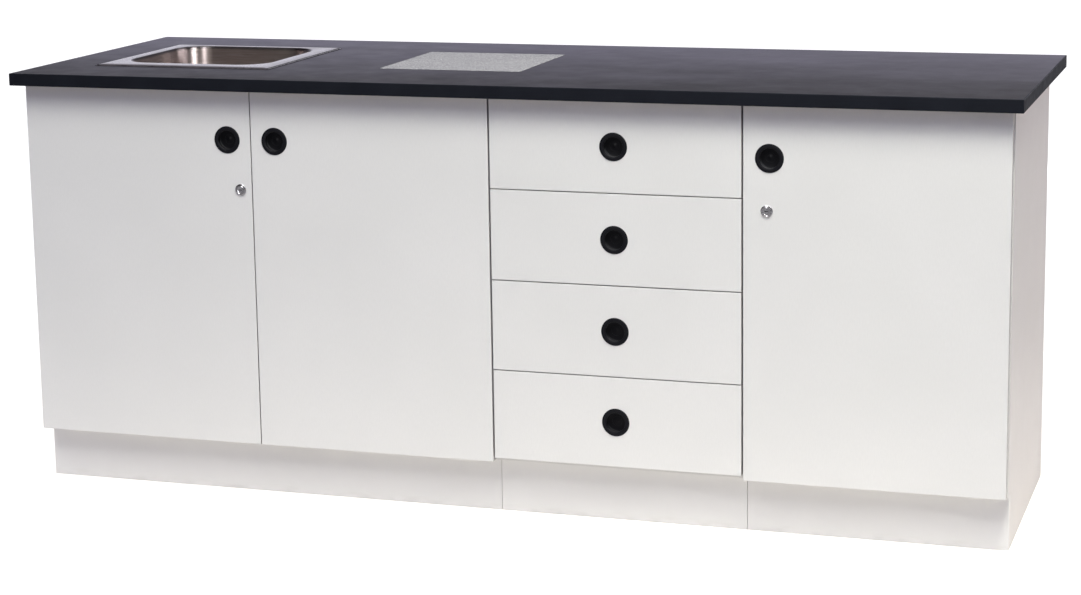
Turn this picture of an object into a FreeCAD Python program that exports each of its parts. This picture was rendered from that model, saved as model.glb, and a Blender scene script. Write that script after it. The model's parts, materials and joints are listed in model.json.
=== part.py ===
"""Laboratory bench: three white base cabinets under one dark worktop.

From the left: a sink cabinet with a pair of doors, a cabinet of four drawers and a cupboard
with one door. A steel sink and a heat-proof plate are let into the worktop, which reaches past
the backs of the cabinets and leaves a service space behind them.

Millimetres, +Z up. The origin is on the floor, at the middle of the worktop's outline. The
cabinets stand side by side along X and their fronts face -Y.
"""
import FreeCAD, Part
import math
import os
import re
import Sketcher

Vector = FreeCAD.Vector
Rotation = FreeCAD.Rotation

# ---------------------------------------------------------------- driving sizes

SIZES = (
    # cabinets
    ("sink_cabinet_width", 1000, "outside width of the two-door sink cabinet"),
    ("drawer_cabinet_width", 500, "outside width of the drawer cabinet"),
    ("cupboard_width", 500, "outside width of the one-door cupboard"),
    ("carcass_depth", 539, "front edge to rear edge of a side board"),
    ("carcass_height", 725, "top of the plinth to the underside of the worktop"),
    ("plinth_height", 110, "floor to the underside of the cabinet floors"),
    ("plinth_setback", 45, "door face to plinth face"),
    ("plinth_thickness", 16, "plinth board"),
    ("plinth_reveal", 0.5, "plinth end to the outside of its cabinet"),
    ("board", 18, "coated board of sides, floors, rails and shelf"),
    ("back_thickness", 8, "back board"),
    ("back_rebate", 9, "width of the rebate that holds a back board"),
    ("rail_depth", 80, "width of a top rail"),
    # doors and drawer fronts
    ("front_thickness", 18, "board of doors and drawer fronts"),
    ("front_standoff", 3, "back of a front to the front edge of the carcass"),
    ("front_edge_round", 0.8, "rounding of the edges of a front"),
    ("edge_reveal", 1.75, "edge of a front to the outside of its cabinet"),
    ("pair_gap", 2, "gap between the two doors of the sink cabinet"),
    ("door_bottom_lift", 1, "door edge above the top of the plinth"),
    ("drawer_bottom_lift", 9.5, "lowest drawer front above the top of the plinth"),
    ("front_top_gap", 3, "gap between the fronts and the worktop"),
    ("drawer_gap", 2, "gap between two drawer fronts"),
    # worktop
    ("worktop_thickness", 25, "worktop board"),
    ("front_overhang", 27, "worktop edge past the door faces"),
    ("end_overhang", 20, "worktop edge past the outer sides"),
    ("back_overhang", 127, "worktop edge past the rear of the cabinets"),
    ("edging_thickness", 2, "edging strip around the worktop"),
    ("edging_round", 1.5, "rounding of the edging"),
    # heat-proof plate
    ("plate_size", 300, "side of the square plate"),
    ("plate_thickness", 12.5, "heat-proof plate"),
    ("plate_proud", 0.5, "plate above the worktop"),
    ("plate_joint", 1.5, "sealed joint around the plate"),
    ("plate_round", 1, "rounding of the plate's upper edges"),
    ("plate_from_left", 870, "worktop end to the middle of the plate"),
    ("plate_from_front", 376.5, "worktop front to the middle of the plate"),
    # sink
    ("sink_size", 390, "side of the square sink flange"),
    ("sink_from_left", 308, "worktop end to the middle of the flange"),
    ("sink_from_front", 353.5, "worktop front to the middle of the flange"),
    ("sink_rim_height", 3.5, "top of the flange above the worktop"),
    ("sink_sheet", 1.2, "steel sheet of the sink"),
    ("sink_corner", 4, "corner radius of the flange"),
    ("sink_edge_round", 1, "bend of the flange's outer edge"),
    ("bowl_length", 314, "mouth of the bowl along X"),
    ("bowl_width", 308, "mouth of the bowl along Y"),
    ("bowl_setback", 7, "middle of the bowl behind the middle of the flange"),
    ("bowl_corner", 60, "corner radius of the bowl, seen from above"),
    ("bowl_mouth_round", 2, "bend from the flange into the bowl"),
    ("bowl_floor_round", 24, "bend from the bowl's walls into its floor"),
    ("bowl_depth", 160, "top of the flange to the floor of the bowl"),
    ("cutout_clearance", 5, "bowl to the cut-out in the worktop"),
    ("gasket_inset", 1, "turned-down flange edge to the sealing strip"),
    ("clip_width", 20, "sink clip along the wall of the bowl"),
    ("clip_sheet", 1.5, "sheet of a sink clip"),
    ("clip_height", 30, "leg of a sink clip along the bowl"),
    ("clip_reach", 24, "foot of a sink clip under the worktop"),
    ("clip_spacing", 170, "two clips on one side of the bowl"),
    # waste
    ("waste_flange_radius", 35, "waste flange on the floor of the bowl"),
    ("waste_flange_thickness", 2, "waste flange"),
    ("waste_tail_radius", 20, "outside of the waste tail"),
    ("waste_wall", 2.5, "wall of waste, trap and pipe"),
    ("waste_tail_length", 62, "waste tail below the floor of the bowl"),
    ("waste_nut_radius", 30, "nut under the bowl"),
    ("waste_nut_height", 10, "nut under the bowl"),
    ("waste_hole_clearance", 0.5, "tail to the hole in the bowl"),
    ("trap_radius", 31, "outside of the bottle trap"),
    ("trap_height", 120, "bottle trap"),
    ("trap_overlap", 14, "waste tail inside the bottle trap"),
    ("trap_fit", 0.2, "waste tail to the neck of the trap"),
    ("trap_outlet_drop", 32, "top of the trap to the middle of its outlet"),
    ("pipe_radius", 20, "outside of the waste pipe"),
    ("pipe_beyond_back", 70, "waste pipe behind the sink cabinet"),
    ("socket_length", 50, "socket at the end of the waste pipe"),
    ("socket_fit", 0.2, "socket round a pipe of the same outside radius"),
    ("pipe_hole_clearance", 3, "waste pipe to its hole in the back board"),
    # finger pulls
    ("pull_radius", 27.5, "flange of a finger pull"),
    ("pull_proud", 1.5, "flange in front of the door face"),
    ("pull_mouth_radius", 19, "opening of the pull"),
    ("pull_lip", 3, "lip behind the door face"),
    ("pull_body_radius", 23, "cup of the pull"),
    ("pull_wall", 1.5, "wall of the cup"),
    ("pull_depth", 14, "door face to the end of the cup"),
    ("pull_edge_round", 0.8, "rounding of the flange"),
    ("pull_fit", 0.15, "cup to its pocket"),
    ("pull_from_edge", 50, "opening edge of a door to the middle of its pull"),
    ("pull_from_top", 97.5, "top edge of a door to the middle of its pull"),
    # locks
    ("lock_drop", 100, "middle of a pull down to the middle of the lock"),
    ("pair_lock_from_edge", 24, "opening edge of the left door to its lock"),
    ("cupboard_lock_from_edge", 45, "opening edge of the cupboard door to its lock"),
    ("lock_rosette_radius", 11.75, "visible ring of a lock"),
    ("lock_proud", 2.5, "ring in front of the door face"),
    ("lock_round", 1, "rounding of the ring and the core's face"),
    ("lock_barrel_radius", 9, "barrel through the door"),
    ("lock_nut_radius", 11, "nut on the back of the door"),
    ("lock_nut_height", 2.2, "nut on the back of the door"),
    ("lock_core_radius", 6, "turning core"),
    ("lock_running_fit", 0.05, "core to barrel and barrel to door"),
    ("core_recess", 0.3, "face of the core behind the face of the ring"),
    ("keyway_length", 7.5, "keyway across the core"),
    ("keyway_width", 1.6, "keyway"),
    ("keyway_depth", 8, "keyway"),
    ("cam_clearance", 0.4, "cam to the barrel and to the strike"),
    ("cam_thickness", 2, "cam"),
    ("cam_width", 12, "cam"),
    ("pair_cam_length", 44, "middle of the lock to the tip of its cam, left door"),
    ("cupboard_cam_length", 22, "middle of the lock to the tip of its cam, cupboard"),
    ("strike_sheet", 1.5, "sheet of the strike"),
    ("strike_height", 24, "strike"),
    ("strike_reach", 15, "front leg of the strike"),
    ("strike_leg", 26, "leg of the strike along the side board"),
    ("strike_clearance", 1, "back of the door to the strike"),
    # concealed hinges with one pin
    ("pin_inset", 7.5, "hinge edge of a door to the pin"),
    ("pin_behind_face", 7, "door face to the pin"),
    ("pin_radius", 1.25, "hinge pin"),
    ("pin_running_fit", 0.05, "pin to the eye of the arm"),
    ("cup_radius", 17.5, "hinge cup"),
    ("cup_edge", 3, "hinge edge of a door to the cup"),
    ("cup_depth", 14.5, "back of a door to the end of the cup"),
    ("cup_sheet", 0.8, "wall of the cup"),
    ("cup_fit", 0.1, "cup to its pocket"),
    ("cup_plate_length", 48, "plate that holds the cup, along Z"),
    ("cup_plate_width", 20, "plate that holds the cup, along X"),
    ("cup_plate_thickness", 1.2, "plate on the back of the door"),
    ("arm_eye_radius", 2, "eye of the arm around the pin"),
    ("arm_width", 10, "arm along the pin"),
    ("arm_sheet", 1.6, "sheet of the arm"),
    ("arm_reach", 17.5, "pin to the far side of the arm"),
    ("arm_behind_edge", 5, "carcass edge to the crank of the arm"),
    ("arm_plate_width", 18, "fixing plate of the arm, along Z"),
    ("arm_plate_length", 56, "fixing plate of the arm, along Y"),
    ("arm_plate_thickness", 2, "fixing plate of the arm"),
    ("arm_plate_inset", 3, "carcass edge to the fixing plate"),
    ("hinge_inset", 90, "end of a door to the middle of a hinge"),
    # drawers and runners
    ("runner_thickness", 12.7, "side board to drawer box"),
    ("runner_height", 45, "outer runner"),
    ("runner_sheet", 1.2, "sheet of the runners"),
    ("runner_lip", 9.5, "lips of the outer runner, from the side board"),
    ("runner_inner_lip", 9.5, "lips of the inner runner, from the drawer box"),
    ("runner_play", 0.4, "inner runner to outer runner"),
    ("runner_inset", 2, "carcass edge to the runners"),
    ("runner_length", 490, "runners"),
    ("runner_above_box", 55, "lower edge of the drawer box to the middle of the runner"),
    ("drawer_depth", 500, "drawer box behind its front"),
    ("drawer_box_height", 115, "drawer box"),
    ("drawer_box_lift", 18, "lower edge of a front to the drawer box"),
    ("drawer_board", 12, "sides and ends of the drawer box"),
    ("drawer_base", 5, "base of the drawer box"),
    ("drawer_base_lift", 10, "lower edge of the drawer box to its base"),
    ("groove_depth", 5, "base of the drawer box into its sides"),
    ("groove_play", 0.2, "base of the drawer box in its groove"),
    # shelf
    ("shelf_height", 345, "cupboard floor to the underside of the shelf"),
    ("shelf_depth", 480, "shelf"),
    ("shelf_side_play", 1, "shelf to the side boards"),
    ("shelf_pin_radius", 2.5, "shelf pin"),
    ("shelf_pin_length", 16, "shelf pin, half of it in the side board"),
    ("shelf_pin_fit", 0.1, "shelf pin to its hole"),
    ("shelf_pin_inset", 50, "end of the shelf to a pin"),
    # fasteners
    ("screw_radius", 2, "worktop screw"),
    ("screw_head_radius", 4, "worktop screw"),
    ("screw_head_height", 3, "worktop screw"),
    ("screw_grip", 14, "worktop screw in the worktop"),
    ("screw_inset", 90, "outside of a cabinet to a worktop screw"),
    ("bolt_radius", 3, "bolt between two cabinets"),
    ("bolt_head_radius", 7, "bolt between two cabinets"),
    ("bolt_head_height", 3, "bolt between two cabinets"),
    ("bolt_inset", 60, "carcass edge to a bolt"),
    ("fastener_fit", 0.1, "screws and bolts to their holes"),
)

# Places that follow from the sizes. Each may use the ones before it.
PLACES = (
    ("bench_depth", "front_overhang + front_thickness + front_standoff + carcass_depth + back_overhang"),
    ("front_face", "front_overhang - bench_depth / 2"),
    ("front_back", "front_face + front_thickness"),
    ("carcass_front", "front_back + front_standoff"),
    ("carcass_rear", "carcass_front + carcass_depth"),
    ("back_face", "carcass_rear - back_thickness"),
    ("plinth_face", "front_face + plinth_setback"),
    ("plinth_rear", "plinth_face + plinth_thickness"),
    ("bench_left", "-(sink_cabinet_width + drawer_cabinet_width + cupboard_width) / 2"),
    ("drawers_left", "bench_left + sink_cabinet_width"),
    ("cupboard_left", "drawers_left + drawer_cabinet_width"),
    ("bench_right", "cupboard_left + cupboard_width"),
    ("pair_middle", "bench_left + sink_cabinet_width / 2"),
    ("drawers_middle", "drawers_left + drawer_cabinet_width / 2"),
    ("carcass_top", "plinth_height + carcass_height"),
    ("worktop_top", "carcass_top + worktop_thickness"),
    ("rail_bottom", "carcass_top - board"),
    ("floor_top", "plinth_height + board"),
    ("worktop_left", "bench_left - end_overhang"),
    ("worktop_length", "bench_right - bench_left + 2 * end_overhang"),
    ("worktop_front", "front_face - front_overhang"),
    ("front_top", "carcass_top - front_top_gap"),
    ("door_bottom", "plinth_height + door_bottom_lift"),
    ("door_height", "front_top - door_bottom"),
    ("drawer_front_bottom", "plinth_height + drawer_bottom_lift"),
    ("drawer_pitch", "(carcass_top - drawer_front_bottom + drawer_gap) / 4"),
    ("pull_height", "front_top - pull_from_top"),
    ("lock_height", "pull_height - lock_drop"),
    ("plate_middle", "worktop_left + plate_from_left"),
    ("plate_centre", "worktop_front + plate_from_front"),
    ("plate_hole", "plate_size + 2 * plate_joint"),
    ("plate_hole_depth", "plate_thickness - plate_proud"),
    ("sink_middle", "worktop_left + sink_from_left"),
    ("sink_centre", "worktop_front + sink_from_front"),
    ("bowl_centre", "sink_centre + bowl_setback"),
    ("cutout_length", "bowl_length + 2 * (sink_sheet + cutout_clearance)"),
    ("cutout_width", "bowl_width + 2 * (sink_sheet + cutout_clearance)"),
    ("cutout_corner", "bowl_corner + sink_sheet + cutout_clearance"),
    ("bowl_floor", "worktop_top + sink_rim_height - bowl_depth"),
    ("bowl_underside", "bowl_floor - sink_sheet"),
    ("tail_bottom", "bowl_floor - waste_tail_length"),
    ("trap_top", "tail_bottom + trap_overlap"),
    ("outlet_height", "trap_top - trap_outlet_drop"),
    ("pipe_end", "carcass_rear + pipe_beyond_back"),
    ("barrel_rear", "front_thickness + strike_clearance + strike_sheet"),
    ("cam_front", "barrel_rear + cam_clearance"),
    ("side_face", "board - edge_reveal - pin_inset"),
    ("cup_middle", "cup_edge + cup_radius - pin_inset"),
    ("arm_crank", "front_thickness + front_standoff + arm_behind_edge"),
    ("drawer_box_left", "drawers_left + board + runner_thickness"),
    ("drawer_box_width", "drawer_cabinet_width - 2 * (board + runner_thickness)"),
    ("runner_front", "carcass_front + runner_inset"),
    ("shelf_bottom", "floor_top + shelf_height"),
    ("shelf_front", "back_face - shelf_depth"),
)

doc = FreeCAD.newDocument("laboratory_bench")


def cells(formula):
    """Write the plain names in a formula as references to the two sheets."""
    def reference(found):
        word = found.group()
        if word in size_names:
            return "Sizes." + word
        if word in place_names:
            return "Places." + word
        return word
    return re.sub(r"[a-z]\w*", reference, formula)


size_names = {name for name, number, meaning in SIZES}
place_names = {name for name, formula in PLACES}

sizes = doc.addObject("Spreadsheet::Sheet", "Sizes")
for row, (name, number, meaning) in enumerate(SIZES, start=1):
    sizes.set(f"A{row}", name)
    sizes.set(f"B{row}", str(number))
    sizes.setAlias(f"B{row}", name)
    sizes.set(f"C{row}", meaning)
doc.recompute()

places = doc.addObject("Spreadsheet::Sheet", "Places")
for row, (name, formula) in enumerate(PLACES, start=1):
    places.set(f"A{row}", name)
    places.setAlias(f"B{row}", name)
    places.set(f"B{row}", "=" + cells(formula).replace("Places.", ""))
doc.recompute()


# ---------------------------------------------------------------- building blocks

nodes = []


def value(formula):
    """The present number of a formula, used as a first guess for sketch geometry."""
    return float(sizes.evalExpression(cells(formula)))


def bind(item, **formulas):
    """Tie properties of an object to formulas over the sheets."""
    for name, formula in formulas.items():
        item.setExpression(name, cells(formula))
    return item


def place(item, x="0", y="0", z="0", turn=None):
    """Put an object at a point, after a fixed turn about one of the axes."""
    if turn:
        item.Placement = FreeCAD.Placement(Vector(0, 0, 0), turn)
    for axis, formula in zip("xyz", (x, y, z)):
        item.setExpression(f"Placement.Base.{axis}", cells(formula))
    return item


def node(item, label):
    """Name an object as one of the pieces of the bench."""
    item.Label = label
    nodes.append(item)
    return item


def box(name, x, y, z, length, width, height):
    """A board or block, from its lowest corner."""
    item = doc.addObject("Part::Box", name)
    bind(item, Length=length, Width=width, Height=height)
    return place(item, x, y, z)


UPWARD = None
BACKWARD = Rotation(Vector(1, 0, 0), -90)
RIGHTWARD = Rotation(Vector(0, 1, 0), 90)
HALF_TURN = Rotation(Vector(0, 1, 0), 180)


def rod(name, x, y, z, radius, length, along):
    """A round bar from the middle of one end."""
    item = doc.addObject("Part::Cylinder", name)
    bind(item, Radius=radius, Height=length)
    return place(item, x, y, z, along)


def group(name, pieces):
    """Separate solids that are one piece of the list."""
    item = doc.addObject("Part::Compound", name)
    item.Links = pieces
    return item


def fuse(name, pieces):
    """Several shapes as one solid."""
    item = doc.addObject("Part::MultiFuse", name)
    item.Shapes = pieces
    return item


def cut(name, base, tools):
    """A shape less one or more others."""
    item = doc.addObject("Part::Cut", name)
    item.Base = base
    item.Tool = tools[0] if len(tools) == 1 else fuse(name + "_tools", tools)
    return item


def new_body(name):
    return doc.addObject("PartDesign::Body", name)


def sketch_on(body, plane, height="0"):
    """A sketch on one of the body's own planes, lifted along the plane's normal."""
    sketch = body.newObject("Sketcher::SketchObject", body.Name + "_sketch")
    support = next(item for item in body.Origin.OriginFeatures if item.Role == plane)
    sketch.AttachmentSupport = [(support, "")]
    sketch.MapMode = "FlatFace"
    sketch.setExpression("AttachmentOffset.Base.z", cells(height))
    return sketch


def outline(sketch, corners):
    """A closed straight-sided outline whose corners are pairs of formulas."""
    points = [Vector(value(across), value(up), 0) for across, up in corners]
    first = sketch.GeometryCount
    count = len(points)
    for index in range(count):
        sketch.addGeometry(Part.LineSegment(points[index], points[(index + 1) % count]), False)
    for index in range(count):
        following = first + (index + 1) % count
        sketch.addConstraint(Sketcher.Constraint("Coincident", first + index, 2, following, 1))
    for index, corner in enumerate(corners):
        for kind, formula in zip(("DistanceX", "DistanceY"), corner):
            fixed = Sketcher.Constraint(kind, -1, 1, first + index, 1, value(formula))
            number = sketch.addConstraint(fixed)
            sketch.setExpression(f"Constraints[{number}]", cells(formula))


def rectangle(sketch, left, bottom, right, top):
    outline(sketch, ((left, bottom), (right, bottom), (right, top), (left, top)))


def circle(sketch, across, up, radius):
    """A circle at a point, with its radius and place tied to formulas."""
    centre = Vector(value(across), value(up), 0)
    index = sketch.addGeometry(Part.Circle(centre, Vector(0, 0, 1), value(radius)), False)
    limits = (
        (Sketcher.Constraint("DistanceX", -1, 1, index, 3, centre.x), across),
        (Sketcher.Constraint("DistanceY", -1, 1, index, 3, centre.y), up),
        (Sketcher.Constraint("Radius", index, value(radius)), radius),
    )
    for limit, formula in limits:
        number = sketch.addConstraint(limit)
        sketch.setExpression(f"Constraints[{number}]", cells(formula))


def rounded_rectangle(sketch, left, bottom, right, top, radius):
    """A rectangle with an arc at each corner, all tied to formulas."""
    centres = (
        (f"{left} + {radius}", f"{bottom} + {radius}", 180),
        (f"{right} - ({radius})", f"{bottom} + {radius}", 270),
        (f"{right} - ({radius})", f"{top} - ({radius})", 0),
        (f"{left} + {radius}", f"{top} - ({radius})", 90),
    )
    arcs = []
    for across, up, start in centres:
        round_corner = Part.Circle(Vector(value(across), value(up), 0), Vector(0, 0, 1), value(radius))
        first, last = math.radians(start), math.radians(start + 90)
        arcs.append(sketch.addGeometry(Part.ArcOfCircle(round_corner, first, last), False))
    lines = []
    for index in range(4):
        begin = sketch.getPoint(arcs[index], 2)
        end = sketch.getPoint(arcs[(index + 1) % 4], 1)
        lines.append(sketch.addGeometry(Part.LineSegment(begin, end), False))
    for index in range(4):
        sketch.addConstraint(Sketcher.Constraint("Tangent", arcs[index], 2, lines[index], 1))
        sketch.addConstraint(Sketcher.Constraint("Tangent", lines[index], 2, arcs[(index + 1) % 4], 1))
    for arc, (across, up, start) in zip(arcs, centres):
        limits = (
            (Sketcher.Constraint("DistanceX", -1, 1, arc, 3, value(across)), across),
            (Sketcher.Constraint("DistanceY", -1, 1, arc, 3, value(up)), up),
            (Sketcher.Constraint("Radius", arc, value(radius)), radius),
        )
        for limit, formula in limits:
            number = sketch.addConstraint(limit)
            sketch.setExpression(f"Constraints[{number}]", cells(formula))


def pad(body, sketch, length, reverse=False, both_ways=False):
    feature = body.newObject("PartDesign::Pad", body.Name + "_pad")
    feature.Profile = sketch
    feature.Reversed = reverse
    feature.Midplane = both_ways
    return bind(feature, Length=length)


def pocket(body, sketch, length, reverse=False, both_ways=False):
    feature = body.newObject("PartDesign::Pocket", body.Name + "_pocket")
    feature.Profile = sketch
    feature.Reversed = reverse
    feature.Midplane = both_ways
    return bind(feature, Length=length)


def revolve(body, sketch):
    """Turn a sketch once round its vertical axis."""
    feature = body.newObject("PartDesign::Revolution", body.Name + "_revolution")
    feature.Profile = sketch
    feature.ReferenceAxis = (sketch, ["V_Axis"])
    feature.Angle = 360
    return feature


def soften(body, radius, chosen=None):
    """Round the chosen edges of the body as it stands, or all of them."""
    doc.recompute()
    base = body.Tip
    edges = [f"Edge{index}" for index, edge in enumerate(base.Shape.Edges, start=1)
             if chosen is None or chosen(edge)]
    feature = body.newObject("PartDesign::Fillet", body.Name + "_fillet")
    feature.Base = (base, edges)
    return bind(feature, Radius=radius)


def level(edge, axis, formula):
    """Whether an edge lies wholly at one coordinate."""
    low = getattr(edge.BoundBox, axis + "Min")
    high = getattr(edge.BoundBox, axis + "Max")
    return abs(low - value(formula)) < 0.01 and abs(high - value(formula)) < 0.01


def upright(edge):
    """Whether an edge runs along Z."""
    return edge.BoundBox.XLength < 0.01 and edge.BoundBox.YLength < 0.01


# ---------------------------------------------------------------- cabinets

def side_board(label, left, inner_face, holes=()):
    """A side board that stands on the floor, with a toe space and a rebate for the back."""
    body = new_body(label + "_board")
    sketch = sketch_on(body, "YZ_Plane")
    outline(sketch, (
        ("plinth_rear", "0"),
        ("carcass_rear", "0"),
        ("carcass_rear", "carcass_top"),
        ("carcass_front", "carcass_top"),
        ("carcass_front", "plinth_height"),
        ("plinth_rear", "plinth_height"),
    ))
    pad(body, sketch, "board")
    place(body, left)
    rebate_left = f"{left} + board - back_rebate" if inner_face == "right" else left
    rebate = box(label + "_rebate", rebate_left, "back_face", "plinth_height",
                 "back_rebate", "back_thickness", "carcass_height")
    node(cut(label + "_cut", body, [rebate, *holes]), label)


def cabinet(name, left, right, back_holes=(), left_holes=(), right_holes=()):
    """Two sides, floor, back, plinth and the two top rails of one cabinet."""
    inside = f"{right} - ({left}) - 2 * board"
    side_board(name + "_side_left", left, "right", left_holes)
    side_board(name + "_side_right", f"{right} - board", "left", right_holes)
    floor = box(name + "_floor_board", f"{left} + board", "carcass_front", "plinth_height",
                inside, "carcass_depth - back_thickness", "board")
    node(floor, name + "_floor")
    back_left = f"{left} + board - back_rebate"
    back = box(name + "_back_board", back_left, "back_face", "plinth_height",
               f"{inside} + 2 * back_rebate", "back_thickness", "carcass_height")
    node(cut(name + "_back_cut", back, back_holes) if back_holes else back, name + "_back")
    plinth = box(name + "_plinth_board", f"{left} + plinth_reveal", "plinth_face", "0",
                 f"{right} - ({left}) - 2 * plinth_reveal", "plinth_thickness", "plinth_height")
    node(plinth, name + "_plinth")
    front_rail = box(name + "_front_rail", f"{left} + board", "carcass_front", "rail_bottom",
                     inside, "rail_depth", "board")
    rear_rail = box(name + "_rear_rail", f"{left} + board", "back_face - board",
                    "carcass_top - rail_depth", inside, "board", "rail_depth")
    return front_rail, rear_rail


def bolt_places(boundary):
    """Two bolts through the boards on either side of a boundary, between the drawer boxes."""
    return [(boundary, f"drawer_front_bottom + {count} * drawer_pitch") for count in (1, 3)]


def bolt(name, boundary, height):
    """A bolt with a round head at each end."""
    y = "carcass_front + bolt_inset"
    shank = rod(name + "_shank", f"{boundary} - board", y, height,
                "bolt_radius", "2 * board", RIGHTWARD)
    heads = [
        rod(name + "_head", f"{boundary} - board - bolt_head_height", y, height,
            "bolt_head_radius", "bolt_head_height", RIGHTWARD),
        rod(name + "_cap", f"{boundary} + board", y, height,
            "bolt_head_radius", "bolt_head_height", RIGHTWARD),
    ]
    return fuse(name, [shank, *heads])


def bolt_hole(name, boundary, height):
    return rod(name, f"{boundary} - board", "carcass_front + bolt_inset", height,
               "bolt_radius + fastener_fit", "2 * board", RIGHTWARD)


def bolt_holes(name, boundary):
    return [bolt_hole(f"{name}_bolt_hole_{index}", *at)
            for index, at in enumerate(bolt_places(boundary))]


def shelf_pin_places():
    """Pins at the front and rear of the shelf, in both side boards."""
    ends = ("shelf_front + shelf_pin_inset", "shelf_front + shelf_depth - shelf_pin_inset")
    faces = ("cupboard_left + board", "bench_right - board")
    return [(face, end) for face in faces for end in ends]


def shelf_pin(name, face, end, fit=""):
    """A pin that lies half in the side board and half under the shelf."""
    return rod(name, f"{face} - shelf_pin_length / 2", end, "shelf_bottom - shelf_pin_radius",
               "shelf_pin_radius" + fit, "shelf_pin_length", RIGHTWARD)


pin_places = shelf_pin_places()
pin_holes = [shelf_pin(f"shelf_pin_hole_{index}", *at, fit=" + shelf_pin_fit")
             for index, at in enumerate(pin_places)]
pipe_hole = rod("pipe_hole", "sink_middle", "back_face - 1", "outlet_height",
                "pipe_radius + pipe_hole_clearance", "back_thickness + 2", BACKWARD)

sink_rails = cabinet("sink_cabinet", "bench_left", "drawers_left", back_holes=[pipe_hole],
                     right_holes=bolt_holes("sink_right", "drawers_left"))
drawer_rails = cabinet("drawer_cabinet", "drawers_left", "cupboard_left",
                       left_holes=bolt_holes("drawer_left", "drawers_left"),
                       right_holes=bolt_holes("drawer_right", "cupboard_left"))
cupboard_rails = cabinet("cupboard", "cupboard_left", "bench_right",
                         left_holes=bolt_holes("cupboard_left", "cupboard_left") + pin_holes[:2],
                         right_holes=pin_holes[2:])

screw_places = [(f"{left} + screw_inset", f"{right} - screw_inset") for left, right in (
    ("bench_left", "drawers_left"),
    ("drawers_left", "cupboard_left"),
    ("cupboard_left", "bench_right"),
)]


def worktop_screw(name, x):
    """A screw up through a front rail into the worktop."""
    y = "carcass_front + rail_depth / 2"
    head = rod(name + "_head", x, y, "rail_bottom - screw_head_height",
               "screw_head_radius", "screw_head_height", UPWARD)
    shank = rod(name + "_shank", x, y, "rail_bottom", "screw_radius", "board + screw_grip", UPWARD)
    return fuse(name, [head, shank])


def screw_hole(name, x):
    return rod(name, x, "carcass_front + rail_depth / 2", "rail_bottom",
               "screw_radius + fastener_fit", "board + screw_grip", UPWARD)


rails = []
screws = []
for index, (front, rear) in enumerate((sink_rails, drawer_rails, cupboard_rails)):
    holes = [screw_hole(f"rail_{index}_hole_{side}", x) for side, x in enumerate(screw_places[index])]
    rails += [cut(f"drilled_rail_{index}", front, holes), rear]
    screws += [worktop_screw(f"screw_{index}_{side}", x) for side, x in enumerate(screw_places[index])]
node(group("rails", rails), "top_rails")

bolts = [bolt(f"bolt_{boundary}_{index}", *at) for boundary in ("drawers_left", "cupboard_left")
         for index, at in enumerate(bolt_places(boundary))]
node(group("fasteners", screws + bolts), "cabinet_fasteners")

shelf = box("shelf_board", "cupboard_left + board + shelf_side_play", "shelf_front", "shelf_bottom",
            "cupboard_width - 2 * (board + shelf_side_play)", "shelf_depth", "board")
node(shelf, "shelf")
pins = [shelf_pin(f"shelf_pin_{index}", *at) for index, at in enumerate(pin_places)]
node(group("pins", pins), "shelf_pins")


# ---------------------------------------------------------------- worktop and plate

def rounded_block(name, x, y, z, length, width, height, corner):
    """A block with rounded upright edges, centred on a point, rising from it."""
    body = new_body(name)
    sketch = sketch_on(body, "XY_Plane")
    rounded_rectangle(sketch, f"-{length} / 2", f"-{width} / 2", f"{length} / 2", f"{width} / 2", corner)
    pad(body, sketch, height)
    return place(body, x, y, z)


core = box("worktop_core", "worktop_left + edging_thickness", "worktop_front + edging_thickness",
           "carcass_top", "worktop_length - 2 * edging_thickness",
           "bench_depth - 2 * edging_thickness", "worktop_thickness")
sink_cutout = rounded_block("sink_cutout", "sink_middle", "bowl_centre", "carcass_top - 1",
                            "cutout_length", "cutout_width", "worktop_thickness + 2", "cutout_corner")
plate_recess = box("plate_recess", "plate_middle - plate_hole / 2", "plate_centre - plate_hole / 2",
                   "worktop_top - plate_hole_depth", "plate_hole", "plate_hole", "plate_thickness")
pilot_holes = [screw_hole(f"pilot_{index}_{side}", x) for index, pair in enumerate(screw_places)
               for side, x in enumerate(pair)]
node(cut("worktop_cut", core, [sink_cutout, plate_recess, *pilot_holes]), "worktop")

edging = new_body("edging_ring")
edging_outside = sketch_on(edging, "XY_Plane")
rectangle(edging_outside, "-worktop_length / 2", "-bench_depth / 2", "worktop_length / 2", "bench_depth / 2")
pad(edging, edging_outside, "worktop_thickness")
soften(edging, "edging_round")
edging_inside = sketch_on(edging, "XY_Plane")
rectangle(edging_inside, "edging_thickness - worktop_length / 2", "edging_thickness - bench_depth / 2",
          "worktop_length / 2 - edging_thickness", "bench_depth / 2 - edging_thickness")
pocket(edging, edging_inside, "worktop_thickness", reverse=True)
place(edging, "worktop_left + worktop_length / 2", "worktop_front + bench_depth / 2", "carcass_top")
node(edging, "worktop_edging")

plate = new_body("plate")
plate_outline = sketch_on(plate, "XY_Plane")
rectangle(plate_outline, "-plate_size / 2", "-plate_size / 2", "plate_size / 2", "plate_size / 2")
pad(plate, plate_outline, "plate_thickness")
soften(plate, "plate_round", lambda edge: edge.BoundBox.ZMax > value("plate_thickness") - 0.01)
place(plate, "plate_middle", "plate_centre", "worktop_top - plate_hole_depth")
node(plate, "heatproof_plate")

plate_bead = new_body("plate_bead")
bead_outside = sketch_on(plate_bead, "XY_Plane")
rectangle(bead_outside, "-plate_hole / 2", "-plate_hole / 2", "plate_hole / 2", "plate_hole / 2")
pad(plate_bead, bead_outside, "plate_hole_depth")
bead_inside = sketch_on(plate_bead, "XY_Plane")
rectangle(bead_inside, "-plate_size / 2", "-plate_size / 2", "plate_size / 2", "plate_size / 2")
pocket(plate_bead, bead_inside, "plate_hole_depth", reverse=True)
place(plate_bead, "plate_middle", "plate_centre", "worktop_top - plate_hole_depth")


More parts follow.
